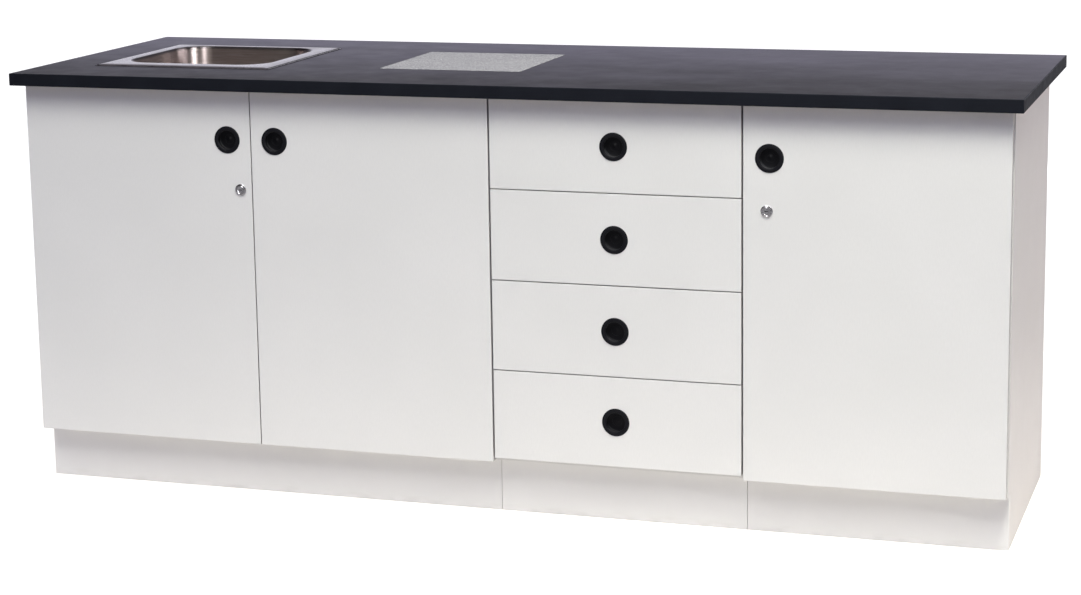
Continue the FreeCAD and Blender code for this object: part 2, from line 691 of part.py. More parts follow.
# ---------------------------------------------------------------- sink and waste

# The sink stands on the worktop's surface: a flange with a turned-down edge, and a deep bowl.
sink = new_body("sink")
flange = sketch_on(sink, "XY_Plane")
rectangle(flange, "-sink_size / 2", "-sink_size / 2", "sink_size / 2", "sink_size / 2")
pad(sink, flange, "sink_rim_height")
soften(sink, "sink_corner", upright)
soften(sink, "sink_edge_round", lambda edge: level(edge, "Z", "sink_rim_height"))
under_flange = sketch_on(sink, "XY_Plane")
rectangle(under_flange, "sink_sheet - sink_size / 2", "sink_sheet - sink_size / 2",
          "sink_size / 2 - sink_sheet", "sink_size / 2 - sink_sheet")
pocket(sink, under_flange, "sink_rim_height - sink_sheet", reverse=True)
bowl_outside = sketch_on(sink, "XY_Plane", "sink_rim_height - sink_sheet")
rounded_rectangle(bowl_outside, "-bowl_length / 2 - sink_sheet",
                  "bowl_setback - bowl_width / 2 - sink_sheet", "bowl_length / 2 + sink_sheet",
                  "bowl_setback + bowl_width / 2 + sink_sheet", "bowl_corner + sink_sheet")
pad(sink, bowl_outside, "bowl_depth", reverse=True)
bowl_inside = sketch_on(sink, "XY_Plane", "sink_rim_height")
rounded_rectangle(bowl_inside, "-bowl_length / 2", "bowl_setback - bowl_width / 2",
                  "bowl_length / 2", "bowl_setback + bowl_width / 2", "bowl_corner")
pocket(sink, bowl_inside, "bowl_depth")
soften(sink, "bowl_floor_round",
       lambda edge: level(edge, "Z", "sink_rim_height - bowl_depth"))
soften(sink, "bowl_floor_round + sink_sheet",
       lambda edge: level(edge, "Z", "sink_rim_height - bowl_depth - sink_sheet"))
soften(sink, "bowl_mouth_round",
       lambda edge: level(edge, "Z", "sink_rim_height")
       and edge.BoundBox.XLength < value("bowl_length")
       and abs(edge.CenterOfMass.x) < value("bowl_length") / 2 + 0.01
       and abs(edge.CenterOfMass.y - value("bowl_setback")) < value("bowl_width") / 2 + 0.01)
waste_hole = sketch_on(sink, "XY_Plane", "sink_rim_height - bowl_depth")
circle(waste_hole, "0", "bowl_setback", "waste_tail_radius + waste_hole_clearance")
pocket(sink, waste_hole, "sink_sheet")
place(sink, "sink_middle", "sink_centre", "worktop_top")
node(sink, "sink_bowl")

gasket = new_body("sink_gasket")
gasket_outside = sketch_on(gasket, "XY_Plane")
gasket_half = "(sink_size / 2 - sink_sheet - gasket_inset)"
rectangle(gasket_outside, "-" + gasket_half, "-" + gasket_half, gasket_half, gasket_half)
pad(gasket, gasket_outside, "sink_rim_height - sink_sheet")
place(gasket, "sink_middle", "sink_centre", "worktop_top")
gasket_opening = rounded_block("gasket_opening", "sink_middle", "bowl_centre", "worktop_top - 1",
                               "cutout_length", "cutout_width", "sink_rim_height + 1", "cutout_corner")
gasket_ring = cut("gasket_ring", gasket, [gasket_opening])
node(group("beads", [plate_bead, gasket_ring]), "sealant_beads")


def sink_clip(name, along, outward):
    """An angle on the front or rear wall of the bowl that bears on the worktop from below."""
    wall = f"bowl_centre {outward} (bowl_width / 2 + sink_sheet)"
    leg_front = wall if outward == "+" else f"{wall} - clip_sheet"
    foot_front = wall if outward == "+" else f"{wall} - clip_reach"
    left = f"sink_middle {along} - clip_width / 2"
    leg = box(name + "_leg", left, leg_front, "carcass_top - clip_height",
              "clip_width", "clip_sheet", "clip_height")
    foot = box(name + "_foot", left, foot_front, "carcass_top - clip_sheet",
               "clip_width", "clip_reach", "clip_sheet")
    return fuse(name, [leg, foot])


clips = [sink_clip(f"sink_clip_{index}", along, outward) for index, (along, outward) in enumerate((
    ("- clip_spacing / 2", "-"),
    ("+ clip_spacing / 2", "-"),
    ("- clip_spacing / 2", "+"),
    ("+ clip_spacing / 2", "+"),
))]
node(group("clips", clips), "sink_clips")

# Waste: a flanged tail through the floor of the bowl, held by a nut.
waste = new_body("waste")
waste_profile = sketch_on(waste, "XZ_Plane")
bore = "waste_tail_radius - waste_wall"
outline(waste_profile, (
    (bore, "-waste_tail_length"),
    ("waste_tail_radius", "-waste_tail_length"),
    ("waste_tail_radius", "-sink_sheet - waste_nut_height"),
    ("waste_nut_radius", "-sink_sheet - waste_nut_height"),
    ("waste_nut_radius", "-sink_sheet"),
    ("waste_tail_radius", "-sink_sheet"),
    ("waste_tail_radius", "0"),
    ("waste_flange_radius", "0"),
    (f"({bore} + waste_flange_radius) / 2", "waste_flange_thickness"),
    (bore, "waste_flange_thickness / 2"),
))
revolve(waste, waste_profile)
place(waste, "sink_middle", "bowl_centre", "bowl_floor")
node(waste, "sink_waste")

# Bottle trap: a closed cup round the end of the tail, with a short socket for the pipe.
trap = new_body("trap")
trap_profile = sketch_on(trap, "XZ_Plane")
outline(trap_profile, (
    ("0", "-trap_height"),
    ("trap_radius", "-trap_height"),
    ("trap_radius", "0"),
    ("waste_tail_radius + trap_fit", "0"),
    ("waste_tail_radius + trap_fit", "-2 * waste_wall"),
    ("trap_radius - waste_wall", "-2 * waste_wall"),
    ("trap_radius - waste_wall", "waste_wall - trap_height"),
    ("0", "waste_wall - trap_height"),
))
revolve(trap, trap_profile)
trap_outlet = sketch_on(trap, "XZ_Plane", "-trap_radius + waste_wall / 2")
circle(trap_outlet, "0", "-trap_outlet_drop", "pipe_radius + waste_wall")
pad(trap, trap_outlet, "4 * waste_wall", reverse=True)
trap_bore = sketch_on(trap, "XZ_Plane", "-trap_radius + waste_wall")
circle(trap_bore, "0", "-trap_outlet_drop", "pipe_radius - waste_wall")
pocket(trap, trap_bore, "8 * waste_wall", both_ways=True)
place(trap, "sink_middle", "bowl_centre", "trap_top")
node(trap, "bottle_trap")

# Waste pipe: level, through the back board, ending in a socket in the service space.
pipe = new_body("pipe")
pipe_start = "bowl_centre + trap_radius + 3.5 * waste_wall"
pipe_length = f"(pipe_end - ({pipe_start}))"
pipe_profile = sketch_on(pipe, "XY_Plane")
outline(pipe_profile, (
    ("pipe_radius - waste_wall", "0"),
    ("pipe_radius", "0"),
    ("pipe_radius", f"{pipe_length} - socket_length"),
    ("pipe_radius + socket_fit + waste_wall", f"{pipe_length} - socket_length"),
    ("pipe_radius + socket_fit + waste_wall", pipe_length),
    ("pipe_radius + socket_fit", pipe_length),
    ("pipe_radius + socket_fit", f"{pipe_length} - socket_length + waste_wall"),
    ("pipe_radius - waste_wall", f"{pipe_length} - socket_length + waste_wall"),
))
revolve(pipe, pipe_profile)
place(pipe, "sink_middle", pipe_start, "outlet_height")
node(pipe, "waste_pipe")


# ---------------------------------------------------------------- fronts, pulls, hinges, locks

def front_panel(label, left, bottom, width, height, pull, cups=(), lock=None):
    """A door or drawer front. Points on it are counted from its lower left corner."""
    body = new_body(label + "_board")
    face = sketch_on(body, "XZ_Plane")
    rectangle(face, "0", "0", width, height)
    pad(body, face, "front_thickness", reverse=True)
    soften(body, "front_edge_round")
    pull_seat = sketch_on(body, "XZ_Plane")
    circle(pull_seat, *pull, "pull_body_radius + pull_fit")
    pocket(body, pull_seat, "pull_depth + pull_fit")
    if cups:
        cup_seats = sketch_on(body, "XZ_Plane", "-front_thickness")
        for across, up in cups:
            circle(cup_seats, across, up, "cup_radius + cup_fit")
        pocket(body, cup_seats, "cup_depth + cup_fit", reverse=True)
    if lock:
        lock_hole = sketch_on(body, "XZ_Plane")
        circle(lock_hole, *lock, "lock_barrel_radius + lock_running_fit")
        pocket(body, lock_hole, "front_thickness")
    place(body, left, "front_face", bottom)
    node(body, label)


def finger_pull(label, x, z):
    """A round cup with a flange on the face and a lip to hook the fingers behind."""
    body = new_body(label + "_cup")
    profile = sketch_on(body, "XY_Plane")
    outline(profile, (
        ("0", "pull_depth"),
        ("0", "pull_depth - pull_wall"),
        ("pull_body_radius - pull_wall", "pull_depth - pull_wall"),
        ("pull_body_radius - pull_wall", "pull_lip"),
        ("pull_mouth_radius", "pull_lip"),
        ("pull_mouth_radius", "-pull_proud"),
        ("pull_radius", "-pull_proud"),
        ("pull_radius", "0"),
        ("pull_body_radius", "0"),
        ("pull_body_radius", "pull_depth"),
    ))
    revolve(body, profile)
    soften(body, "pull_edge_round", lambda edge: level(edge, "Y", "-pull_proud"))
    place(body, x, "front_face", z)
    node(body, label)


def hinge_cup(name, x, z, turn):
    """The cup in the door with its fixing plate and the pin, from the pin's line."""
    body = new_body(name)
    plate_sketch = sketch_on(body, "XZ_Plane", "-front_thickness")
    rectangle(plate_sketch, "cup_middle - cup_plate_width / 2", "-cup_plate_length / 2",
              "cup_middle + cup_plate_width / 2", "cup_plate_length / 2")
    pad(body, plate_sketch, "cup_plate_thickness", reverse=True)
    wall = sketch_on(body, "XZ_Plane", "-front_thickness")
    circle(wall, "cup_middle", "0", "cup_radius")
    pad(body, wall, "cup_depth")
    hollow = sketch_on(body, "XZ_Plane", "-front_thickness - cup_plate_thickness")
    circle(hollow, "cup_middle", "0", "cup_radius - cup_sheet")
    pocket(body, hollow, "cup_depth + cup_plate_thickness - cup_sheet", reverse=True)
    pin = sketch_on(body, "XY_Plane")
    circle(pin, "0", "pin_behind_face", "pin_radius")
    half_chord = "sqrt(cup_radius ^ 2 - (cup_middle + pin_radius) ^ 2)"
    pad(body, pin, "2 * " + half_chord, both_ways=True)
    return place(body, x, "front_face", z, turn)


def hinge_arm(name, x, z, turn):
    """The cranked arm on the side board: an eye on the pin, out of the cup and back."""
    body = new_body(name)
    crank = sketch_on(body, "XY_Plane")
    near = "pin_behind_face - arm_sheet / 2"
    outline(crank, (
        ("0", near),
        ("arm_reach", near),
        ("arm_reach", "arm_crank + arm_sheet"),
        ("side_face", "arm_crank + arm_sheet"),
        ("side_face", "arm_crank"),
        ("arm_reach - arm_sheet", "arm_crank"),
        ("arm_reach - arm_sheet", near + " + arm_sheet"),
        ("0", near + " + arm_sheet"),
    ))
    pad(body, crank, "arm_width", both_ways=True)
    eye = sketch_on(body, "XY_Plane")
    circle(eye, "0", "pin_behind_face", "arm_eye_radius")
    pad(body, eye, "arm_width", both_ways=True)
    fixing = sketch_on(body, "XY_Plane")
    fixing_front = "front_thickness + front_standoff + arm_plate_inset"
    rectangle(fixing, "side_face", fixing_front,
              "side_face + arm_plate_thickness", fixing_front + " + arm_plate_length")
    pad(body, fixing, "arm_plate_width", both_ways=True)
    bore_sketch = sketch_on(body, "XY_Plane")
    circle(bore_sketch, "0", "pin_behind_face", "pin_radius + pin_running_fit")
    pocket(body, bore_sketch, "2 * arm_width", both_ways=True)
    return place(body, x, "front_face", z, turn)


def lock_housing(label, x):
    """Ring, barrel and nut of a cam lock."""
    body = new_body(label + "_barrel")
    profile = sketch_on(body, "XY_Plane")
    lock_bore = "lock_core_radius + lock_running_fit"
    outline(profile, (
        (lock_bore, "-lock_proud"),
        ("lock_rosette_radius", "-lock_proud"),
        ("lock_rosette_radius", "0"),
        ("lock_barrel_radius", "0"),
        ("lock_barrel_radius", "front_thickness"),
        ("lock_nut_radius", "front_thickness"),
        ("lock_nut_radius", "front_thickness + lock_nut_height"),
        ("lock_barrel_radius", "front_thickness + lock_nut_height"),
        ("lock_barrel_radius", "barrel_rear"),
        (lock_bore, "barrel_rear"),
    ))
    revolve(body, profile)
    soften(body, "lock_round", lambda edge: level(edge, "Y", "-lock_proud")
           and edge.BoundBox.XLength > value("2 * lock_barrel_radius"))
    place(body, x, "front_face", "lock_height")
    node(body, label)


def lock_core(label, x, cam_length):
    """The turning core with its keyway, and the cam that hangs down while unlocked."""
    body = new_body(label + "_plug")
    profile = sketch_on(body, "XY_Plane")
    core_face = "core_recess - lock_proud"
    outline(profile, (
        ("0", core_face),
        ("lock_core_radius", core_face),
        ("lock_core_radius", "cam_front + cam_thickness"),
        ("0", "cam_front + cam_thickness"),
    ))
    revolve(body, profile)
    cam = sketch_on(body, "XZ_Plane", "-cam_front")
    rectangle(cam, "-cam_width / 2", f"-({cam_length})", "cam_width / 2", "cam_width / 2")
    pad(body, cam, "cam_thickness", reverse=True)
    keyway = sketch_on(body, "XZ_Plane", "lock_proud")
    rectangle(keyway, "-keyway_length / 2", "-keyway_width / 2", "keyway_length / 2", "keyway_width / 2")
    pocket(body, keyway, "keyway_depth")
    place(body, x, "front_face", "lock_height")
    node(body, label)


arms = []


def door(name, left, right, hinged_on, lock_from_edge=None):
    """A door with its pull and two hinges. The arms are kept for the cabinets."""
    width = f"({right}) - ({left})"
    if hinged_on == "left":
        pin_x = f"{left} + pin_inset"
        cup_across = "cup_edge + cup_radius"
        pull_x = f"{right} - pull_from_edge"
        lock_x = lock_from_edge and f"{right} - {lock_from_edge}"
        turn = None
    else:
        pin_x = f"{right} - pin_inset"
        cup_across = f"{width} - cup_edge - cup_radius"
        pull_x = f"{left} + pull_from_edge"
        lock_x = lock_from_edge and f"{left} + {lock_from_edge}"
        turn = HALF_TURN
    hinge_heights = ("hinge_inset", "door_height - hinge_inset")
    front_panel(name + "_panel", left, "door_bottom", width, "door_height",
                (f"{pull_x} - ({left})", "pull_height - door_bottom"),
                cups=[(cup_across, height) for height in hinge_heights],
                lock=(f"{lock_x} - ({left})", "lock_height - door_bottom") if lock_x else None)
    finger_pull(name + "_pull", pull_x, "pull_height")
    cups = []
    for index, height in enumerate(hinge_heights):
        cups.append(hinge_cup(f"{name}_cup_{index}", pin_x, f"door_bottom + {height}", turn))
        arms.append(hinge_arm(f"{name}_arm_{index}", pin_x, f"door_bottom + {height}", turn))
    node(group(name + "_cups", cups), name + "_hinge_cups")
    return lock_x


left_lock = door("door_left", "bench_left + edge_reveal", "pair_middle - pair_gap / 2",
                 "left", "pair_lock_from_edge")
door("door_right", "pair_middle + pair_gap / 2", "drawers_left - edge_reveal", "right")
cupboard_lock = door("cupboard_door", "cupboard_left + edge_reveal", "bench_right - edge_reveal",
                     "right", "cupboard_lock_from_edge")
node(group("arms", arms), "hinge_arms")

lock_housing("door_left_lock_housing", left_lock)
lock_core("door_left_lock_core", left_lock, "pair_cam_length")
lock_housing("cupboard_door_lock_housing", cupboard_lock)
lock_core("cupboard_door_lock_core", cupboard_lock, "cupboard_cam_length")

# The strike: an angle on the cupboard's left side whose front leg stands before the cam.
strike = new_body("strike")
strike_profile = sketch_on(strike, "XY_Plane")
outline(strike_profile, (
    ("0", "0"),
    ("strike_reach", "0"),
    ("strike_reach", "strike_sheet"),
    ("strike_sheet", "strike_sheet"),
    ("strike_sheet", "strike_leg"),
    ("0", "strike_leg"),
))
pad(strike, strike_profile, "strike_height", both_ways=True)
place(strike, "cupboard_left + board", "front_back + strike_clearance", "lock_height")
node(strike, "lock_strike")


# ---------------------------------------------------------------- drawers

def runner(name, x, z, corners, turn):
    """A runner of constant section along Y, counted from the side board's inner face."""
    body = new_body(name)
    section = sketch_on(body, "XZ_Plane")
    outline(section, corners)
    pad(body, section, "runner_length", reverse=True)
    return place(body, x, "runner_front", z, turn)


def channel(web_back, web_front, lip_end, half):
    """Corners of a channel section: a web, and a lip above and below it."""
    inner = f"{half} - runner_sheet"
    return (
        (web_back, f"-({half})"),
        (lip_end, f"-({half})"),
        (lip_end, f"-({inner})"),
        (web_front, f"-({inner})"),
        (web_front, inner),
        (lip_end, inner),
        (lip_end, half),
        (web_back, half),
    )


outer_section = channel("0", "runner_sheet", "runner_lip", "runner_height / 2")
inner_section = channel("runner_thickness", "runner_thickness - runner_sheet",
                        "runner_thickness - runner_inner_lip",
                        "runner_height / 2 - runner_sheet - runner_play")
cabinet_runners = []


def drawer(number, rank):
    """A drawer counted from the top; rank is its place from the bottom."""
    name = f"drawer_{number}"
    left = "drawers_left + edge_reveal"
    width = "drawer_cabinet_width - 2 * edge_reveal"
    bottom = f"drawer_front_bottom + {rank} * drawer_pitch"
    height = "drawer_pitch - drawer_gap" if number > 1 else f"front_top - ({bottom})"
    front_panel(name + "_front", left, bottom, width, height,
                (f"({width}) / 2", "(drawer_pitch - drawer_gap) / 2"))
    finger_pull(name + "_pull", "drawers_middle", f"{bottom} + (drawer_pitch - drawer_gap) / 2")

    low = f"{bottom} + drawer_box_lift"
    base = box(name + "_base", "drawer_box_left + drawer_board - groove_depth",
               "front_back + drawer_board - groove_depth", f"{low} + drawer_base_lift",
               "drawer_box_width - 2 * (drawer_board - groove_depth)",
               "drawer_depth - 2 * (drawer_board - groove_depth)", "drawer_base")
    groove = box(name + "_groove", "drawer_box_left + drawer_board - groove_depth - groove_play",
                 "front_back + drawer_board - groove_depth - groove_play",
                 f"{low} + drawer_base_lift - groove_play",
                 "drawer_box_width - 2 * (drawer_board - groove_depth - groove_play)",
                 "drawer_depth - 2 * (drawer_board - groove_depth - groove_play)",
                 "drawer_base + 2 * groove_play")
    inner_width = "drawer_box_width - 2 * drawer_board"
    boards = (
        ("left_side", "drawer_box_left", "front_back", "drawer_board", "drawer_depth"),
        ("right_side", "drawer_box_left + drawer_box_width - drawer_board", "front_back",
         "drawer_board", "drawer_depth"),
        ("inner_front", "drawer_box_left + drawer_board", "front_back", inner_width, "drawer_board"),
        ("inner_back", "drawer_box_left + drawer_board", "front_back + drawer_depth - drawer_board",
         inner_width, "drawer_board"),
    )
    grooved = [cut(f"{name}_{part}_cut",
                   box(f"{name}_{part}", x, y, low, length, depth, "drawer_box_height"), [groove])
               for part, x, y, length, depth in boards]
    node(group(name + "_boards", [base, *grooved]), name + "_box")

    runner_z = f"{low} + runner_above_box"
    faces = (("drawers_left + board", None), ("cupboard_left - board", HALF_TURN))
    sliding = []
    for index, (face, turn) in enumerate(faces):
        cabinet_runners.append(runner(f"{name}_outer_{index}", face, runner_z, outer_section, turn))
        sliding.append(runner(f"{name}_inner_{index}", face, runner_z, inner_section, turn))
    node(group(name + "_sliding", sliding), name + "_runners")


for number, rank in ((1, 3), (2, 2), (3, 1), (4, 0)):
    drawer(number, rank)
node(group("outer_runners", cabinet_runners), "cabinet_runners")


# ---------------------------------------------------------------- check and write

doc.recompute()
for item in doc.Objects:
    if {"Invalid", "Error"} & set(item.State):
        raise RuntimeError(f"{item.Label} could not be built")
    if item.TypeId == "PartDesign::Pocket" and item.Shape.Volume >= item.BaseFeature.Shape.Volume:
        raise RuntimeError(f"{item.Label} cuts nothing")
for item in nodes:
    if item.Shape.isNull() or not item.Shape.isValid() or not item.Shape.Solids:
        raise RuntimeError(f"{item.Label} has no sound shape")

os.makedirs("parts", exist_ok=True)
for item in nodes:
    item.Shape.exportStep(f"parts/{item.Label}.step")
print(f"{len(nodes)} pieces written")
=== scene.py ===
"""Looks of a laboratory bench: coated boards, a black worktop with a steel sink and a
heat-proof plate, black finger pulls, cam locks, and the hardware behind the fronts.

Metres, in the frame of the solids: +X along the bench, +Y to its rear, +Z up.
"""

import json
import math

import bmesh
import bpy
from mathutils import Matrix, Vector


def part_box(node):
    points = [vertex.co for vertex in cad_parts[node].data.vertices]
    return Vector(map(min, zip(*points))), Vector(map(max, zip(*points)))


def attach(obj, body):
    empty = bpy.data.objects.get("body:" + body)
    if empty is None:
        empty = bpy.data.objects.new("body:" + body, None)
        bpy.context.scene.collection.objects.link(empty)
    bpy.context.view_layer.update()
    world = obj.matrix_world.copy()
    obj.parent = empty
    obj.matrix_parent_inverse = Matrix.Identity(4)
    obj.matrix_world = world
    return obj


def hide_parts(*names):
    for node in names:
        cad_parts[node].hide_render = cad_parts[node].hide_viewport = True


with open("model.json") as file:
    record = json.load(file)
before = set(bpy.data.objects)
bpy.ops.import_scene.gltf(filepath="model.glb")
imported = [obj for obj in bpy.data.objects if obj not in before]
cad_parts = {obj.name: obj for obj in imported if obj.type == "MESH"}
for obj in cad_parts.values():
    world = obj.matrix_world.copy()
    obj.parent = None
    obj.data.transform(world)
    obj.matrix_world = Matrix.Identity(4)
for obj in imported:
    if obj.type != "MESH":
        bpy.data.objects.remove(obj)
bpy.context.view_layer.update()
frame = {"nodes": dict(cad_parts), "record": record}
nodes = frame["nodes"]

MM = 0.001


def mm(*numbers):
    """A place given in millimetres."""
    return Vector(numbers) * MM


def new_node(tree, kind, inputs=None, **settings):
    """The outputs of a new node with its settings, and its inputs by name or number.

    An input that is given a list is linked to every socket in it.
    """
    made = tree.nodes.new(kind)
    for name, setting in settings.items():
        setattr(made, name, setting)
    for socket, given in (inputs or {}).items():
        for one in given if isinstance(given, list) else [given]:
            if isinstance(one, bpy.types.NodeSocket):
                tree.links.new(one, made.inputs[socket])
            else:
                made.inputs[socket].default_value = one
    return made.outputs


# ---------------------------------------------------------------- finishes

class Finish:
    """A material: its shader, and the patterns that tint, dull and roughen it."""

    def __init__(self, name, **constants):
        self.material = bpy.data.materials.new(name)
        self.material.use_nodes = True
        self.tree = self.material.node_tree
        self.shader = self.tree.nodes["Principled BSDF"]
        for socket, number in constants.items():
            self.feed(socket.replace("_", " "), number)
        coordinates = self.add("TexCoord")
        self.place, self.facing = coordinates["Object"], coordinates["Normal"]

    def add(self, kind, inputs=None, **settings):
        """The outputs of a new shader node."""
        return new_node(self.tree, "ShaderNode" + kind, inputs, **settings)

    def feed(self, socket, given):
        """Give the shader a number, a colour or a pattern."""
        if isinstance(given, bpy.types.NodeSocket):
            self.tree.links.new(given, self.shader.inputs[socket])
        else:
            self.shader.inputs[socket].default_value = given

    def grain(self, size, detail=3.0, stretch=(1, 1, 1)):
        """Noise whose features are size millimetres across, drawn out by stretch."""
        scale = tuple(1.0 / longer for longer in stretch)
        drawn = self.add("Mapping", {"Vector": self.place, "Scale": scale})[0]
        return self.add("TexNoise", {"Vector": drawn, "Scale": 1000.0 / size,
                                     "Detail": detail, "Roughness": 0.55})[0]

    def flakes(self, size):
        """A cell pattern: a random value for each cell, size millimetres across."""
        cells = self.add("TexVoronoi", {"Vector": self.place, "Scale": 1000.0 / size})
        return self.add("SeparateColor", {0: cells["Color"]})[0]

    def spread(self, pattern, low, high, start=0.3, end=0.7):
        """The pattern as a number that goes from low to high."""
        return self.add("MapRange", {"Value": pattern, "From Min": start, "From Max": end,
                                     "To Min": low, "To Max": high})[0]

    def blend(self, pattern, first, second):
        """A colour that goes from first to second with the pattern."""
        first, second = (given if isinstance(given, bpy.types.NodeSocket) else (*given, 1.0)
                         for given in (first, second))
        return self.add("Mix", {0: pattern, 6: first, 7: second}, data_type="RGBA")[2]

    def relief(self, pattern, depth, strength=1.0):
        """Raise the surface by the pattern, depth millimetres from low to high."""
        normal = self.shader.inputs["Normal"]
        inputs = {"Strength": strength, "Distance": depth * MM, "Height": pattern}
        if normal.is_linked:
            inputs["Normal"] = normal.links[0].from_socket
        self.tree.links.new(self.add("Bump", inputs)[0], normal)

    def at(self, axis):
        """The place along an axis."""
        return self.add("SeparateXYZ", {0: self.place})[axis]

    def faces(self, axis):
        """How far the surface faces along an axis, from -1 to 1."""
        return self.add("SeparateXYZ", {0: self.facing})[axis]

    def toward(self, axis):
        """1 where the surface faces along the axis, either way, and 0 where it runs along it."""
        return self.math("GREATER_THAN", self.math("ABSOLUTE", self.faces(axis)), 0.6)

    def math(self, operation, first, second=0.0):
        """A plain sum, product or comparison of two numbers or patterns."""
        return self.add("Math", {0: first, 1: second}, operation=operation)[0]


def chipboard(made):
    """The colour of a sawn chipboard edge, for one finish."""
    fine = made.blend(made.flakes(1.7), (0.30, 0.21, 0.12), (0.60, 0.47, 0.31))
    return made.blend(made.spread(made.grain(9, 3.0), 0, 0.5), fine, (0.50, 0.38, 0.25))


def coated(made, clouds):
    """The colour of white coated board: clouds of the given size under a fine pearl grain."""
    tint = made.blend(made.spread(made.grain(clouds, 2.0), 0, 1), (0.785, 0.785, 0.770),
                      (0.815, 0.813, 0.800))
    fibre = made.grain(2.2, 4.0, stretch=(1, 1, 5))
    return made.blend(made.spread(fibre, 0, 0.35), tint, (0.74, 0.74, 0.725))


def board_white():
    """White coated board, with bare chips on its rear and foot."""
    made = Finish("board_white", Specular_IOR_Level=0.4)
    rear_from, foot_below = 0.2297, 0.0005
    rear = made.math("MULTIPLY", made.toward("Y"),
                     made.math("GREATER_THAN", made.at("Y"), rear_from))
    foot = made.math("MULTIPLY", made.toward("Z"),
                     made.math("LESS_THAN", made.at("Z"), foot_below))
    bare = made.math("MAXIMUM", rear, foot)
    made.feed("Base Color", made.blend(bare, coated(made, 220), chipboard(made)))
    dull = made.spread(made.grain(45), 0.38, 0.48)
    made.feed("Roughness", made.math("ADD", dull, made.math("MULTIPLY", bare, 0.4)))
    made.relief(made.grain(0.9, 2.0), 0.012)
    return made.material


def plinth_white():
    """The plinths' board: a little whiter than the other boards, as painted light for the light
    thrown up from the floor; scuffed along the foot.
    """
    made = Finish("plinth_white", Specular_IOR_Level=0.4)
    # painted light: whiter than board_white, standing in for light from the floor
    clean = made.blend(made.spread(made.grain(150, 3.0), 0, 1), (0.845, 0.84, 0.825),
                       (0.875, 0.87, 0.855))
    scuffed_height = 0.016
    low = made.spread(made.at("Z"), 0.55, 0.0, 0.0, scuffed_height)
    scuffs = made.math("MULTIPLY", low, made.spread(made.grain(14, 4.0, stretch=(4, 4, 1)),
                                                    0, 1, 0.45, 0.7))
    made.feed("Base Color", made.blend(scuffs, clean, (0.66, 0.645, 0.62)))
    made.feed("Roughness", made.math("ADD", made.spread(made.grain(30), 0.40, 0.50),
                                     made.math("MULTIPLY", scuffs, 0.2)))
    made.relief(made.grain(0.9, 2.0), 0.012)
    return made.material


def front_white():
    """White coated board of the fronts, with a smoother edge band that is painted grey as shade
    for the gaps between the fronts.
    """
    made = Finish("front_white", Specular_IOR_Level=0.4)
    flat = made.toward("Y")
    # painted shade: the edge band is grey so that the gaps between the fronts look dark
    made.feed("Base Color", made.blend(flat, (0.52, 0.505, 0.515), coated(made, 260)))
    made.feed("Roughness", made.spread(flat, 0.34, 0.42, 0, 1))
    made.relief(made.grain(0.9, 2.0), 0.012)
    return made.material


def back_white():
    """Thin back board: a duller white film over pressed fibre."""
    made = Finish("back_white", Specular_IOR_Level=0.35)
    made.feed("Base Color", made.blend(made.spread(made.grain(160, 3.0), 0, 1),
                                       (0.73, 0.73, 0.71), (0.785, 0.783, 0.765)))
    made.feed("Roughness", made.spread(made.grain(30), 0.50, 0.62))
    made.relief(made.grain(1.6, 3.0), 0.03)
    return made.material


def drawer_white():
    """Foil-wrapped drawer board with a faint straight grain along it."""
    made = Finish("drawer_white", Specular_IOR_Level=0.4)
    streak = made.grain(1.4, 3.0, stretch=(40, 40, 1))
    made.feed("Base Color", made.blend(made.spread(streak, 0, 1), (0.745, 0.745, 0.725),
                                       (0.79, 0.79, 0.775)))
    made.feed("Roughness", made.spread(made.grain(25), 0.44, 0.56))
    made.relief(streak, 0.02)
    return made.material


def worktop_black():
    """Black laminate above, with random clouds, a painted sheen that grows toward the rear and the
    left, and painted shade toward the right; backing paper below, chipboard in the cut-outs.
    """
    made = Finish("worktop_black", Specular_IOR_Level=0.2)
    up = made.math("GREATER_THAN", made.faces("Z"), 0.5)
    flat = made.toward("Z")
    cloud = made.grain(120, 4.0, stretch=(2.5, 1, 1))
    # painted shade: the laminate gets darker toward the right end
    painted_shade_at_right = made.spread(made.at("X"), 0.0, -0.14, 0.1, 1.0)
    painted_sheen_at_left = made.spread(made.at("X"), 1.22, 1.0, -0.9, 0.3)
    clouds_and_painted_shade = made.math("ADD", made.spread(cloud, -0.075, 0.125), painted_shade_at_right)
    # painted sheen: the laminate gets lighter toward the rear, more so at the left, standing in
    # for reflected light
    rear = made.math("MULTIPLY", made.spread(made.at("Y"), 0.0, 0.776, -0.36, 0.36),
                     painted_sheen_at_left)
    painted_sheen_shade_and_clouds = made.math("ADD", rear, clouds_and_painted_shade)
    # the painted sheen and shade, with random clouds of tone, blend the black toward a light
    # bluish grey
    laminate = made.blend(painted_sheen_shade_and_clouds, (0.0105, 0.010, 0.014), (0.125, 0.119, 0.161))
    pearl = made.spread(made.grain(0.7, 2.0), 0, 0.4, 0.5, 0.75)
    laminate = made.blend(pearl, laminate, (0.060, 0.057, 0.075))
    chips = made.blend(made.flakes(1.8), (0.30, 0.20, 0.11), (0.55, 0.42, 0.27))
    paper = made.blend(made.spread(made.grain(12, 4.0), 0, 1), (0.13, 0.085, 0.05),
                       (0.19, 0.13, 0.08))
    under = made.blend(flat, chips, paper)
    made.feed("Base Color", made.blend(up, under, laminate))
    made.feed("Roughness", made.spread(made.grain(60, 3.0), 0.46, 0.56))
    made.relief(made.grain(0.8, 3.0), 0.02)
    made.relief(made.grain(0.25, 2.0), 0.01)
    return made.material


def edging_black():
    """Black plastic edging: smooth, with a faint drag along the strip."""
    made = Finish("edging_black", Specular_IOR_Level=0.05)
    made.feed("Base Color", made.blend(made.spread(made.grain(70, 3.0), 0, 1),
                                       (0.0065, 0.0075, 0.012), (0.0095, 0.011, 0.0165)))
    made.feed("Roughness", made.spread(made.grain(18, 3.0), 0.58, 0.72))
    made.relief(made.grain(0.6, 3.0, stretch=(30, 30, 1)), 0.015)
    return made.material


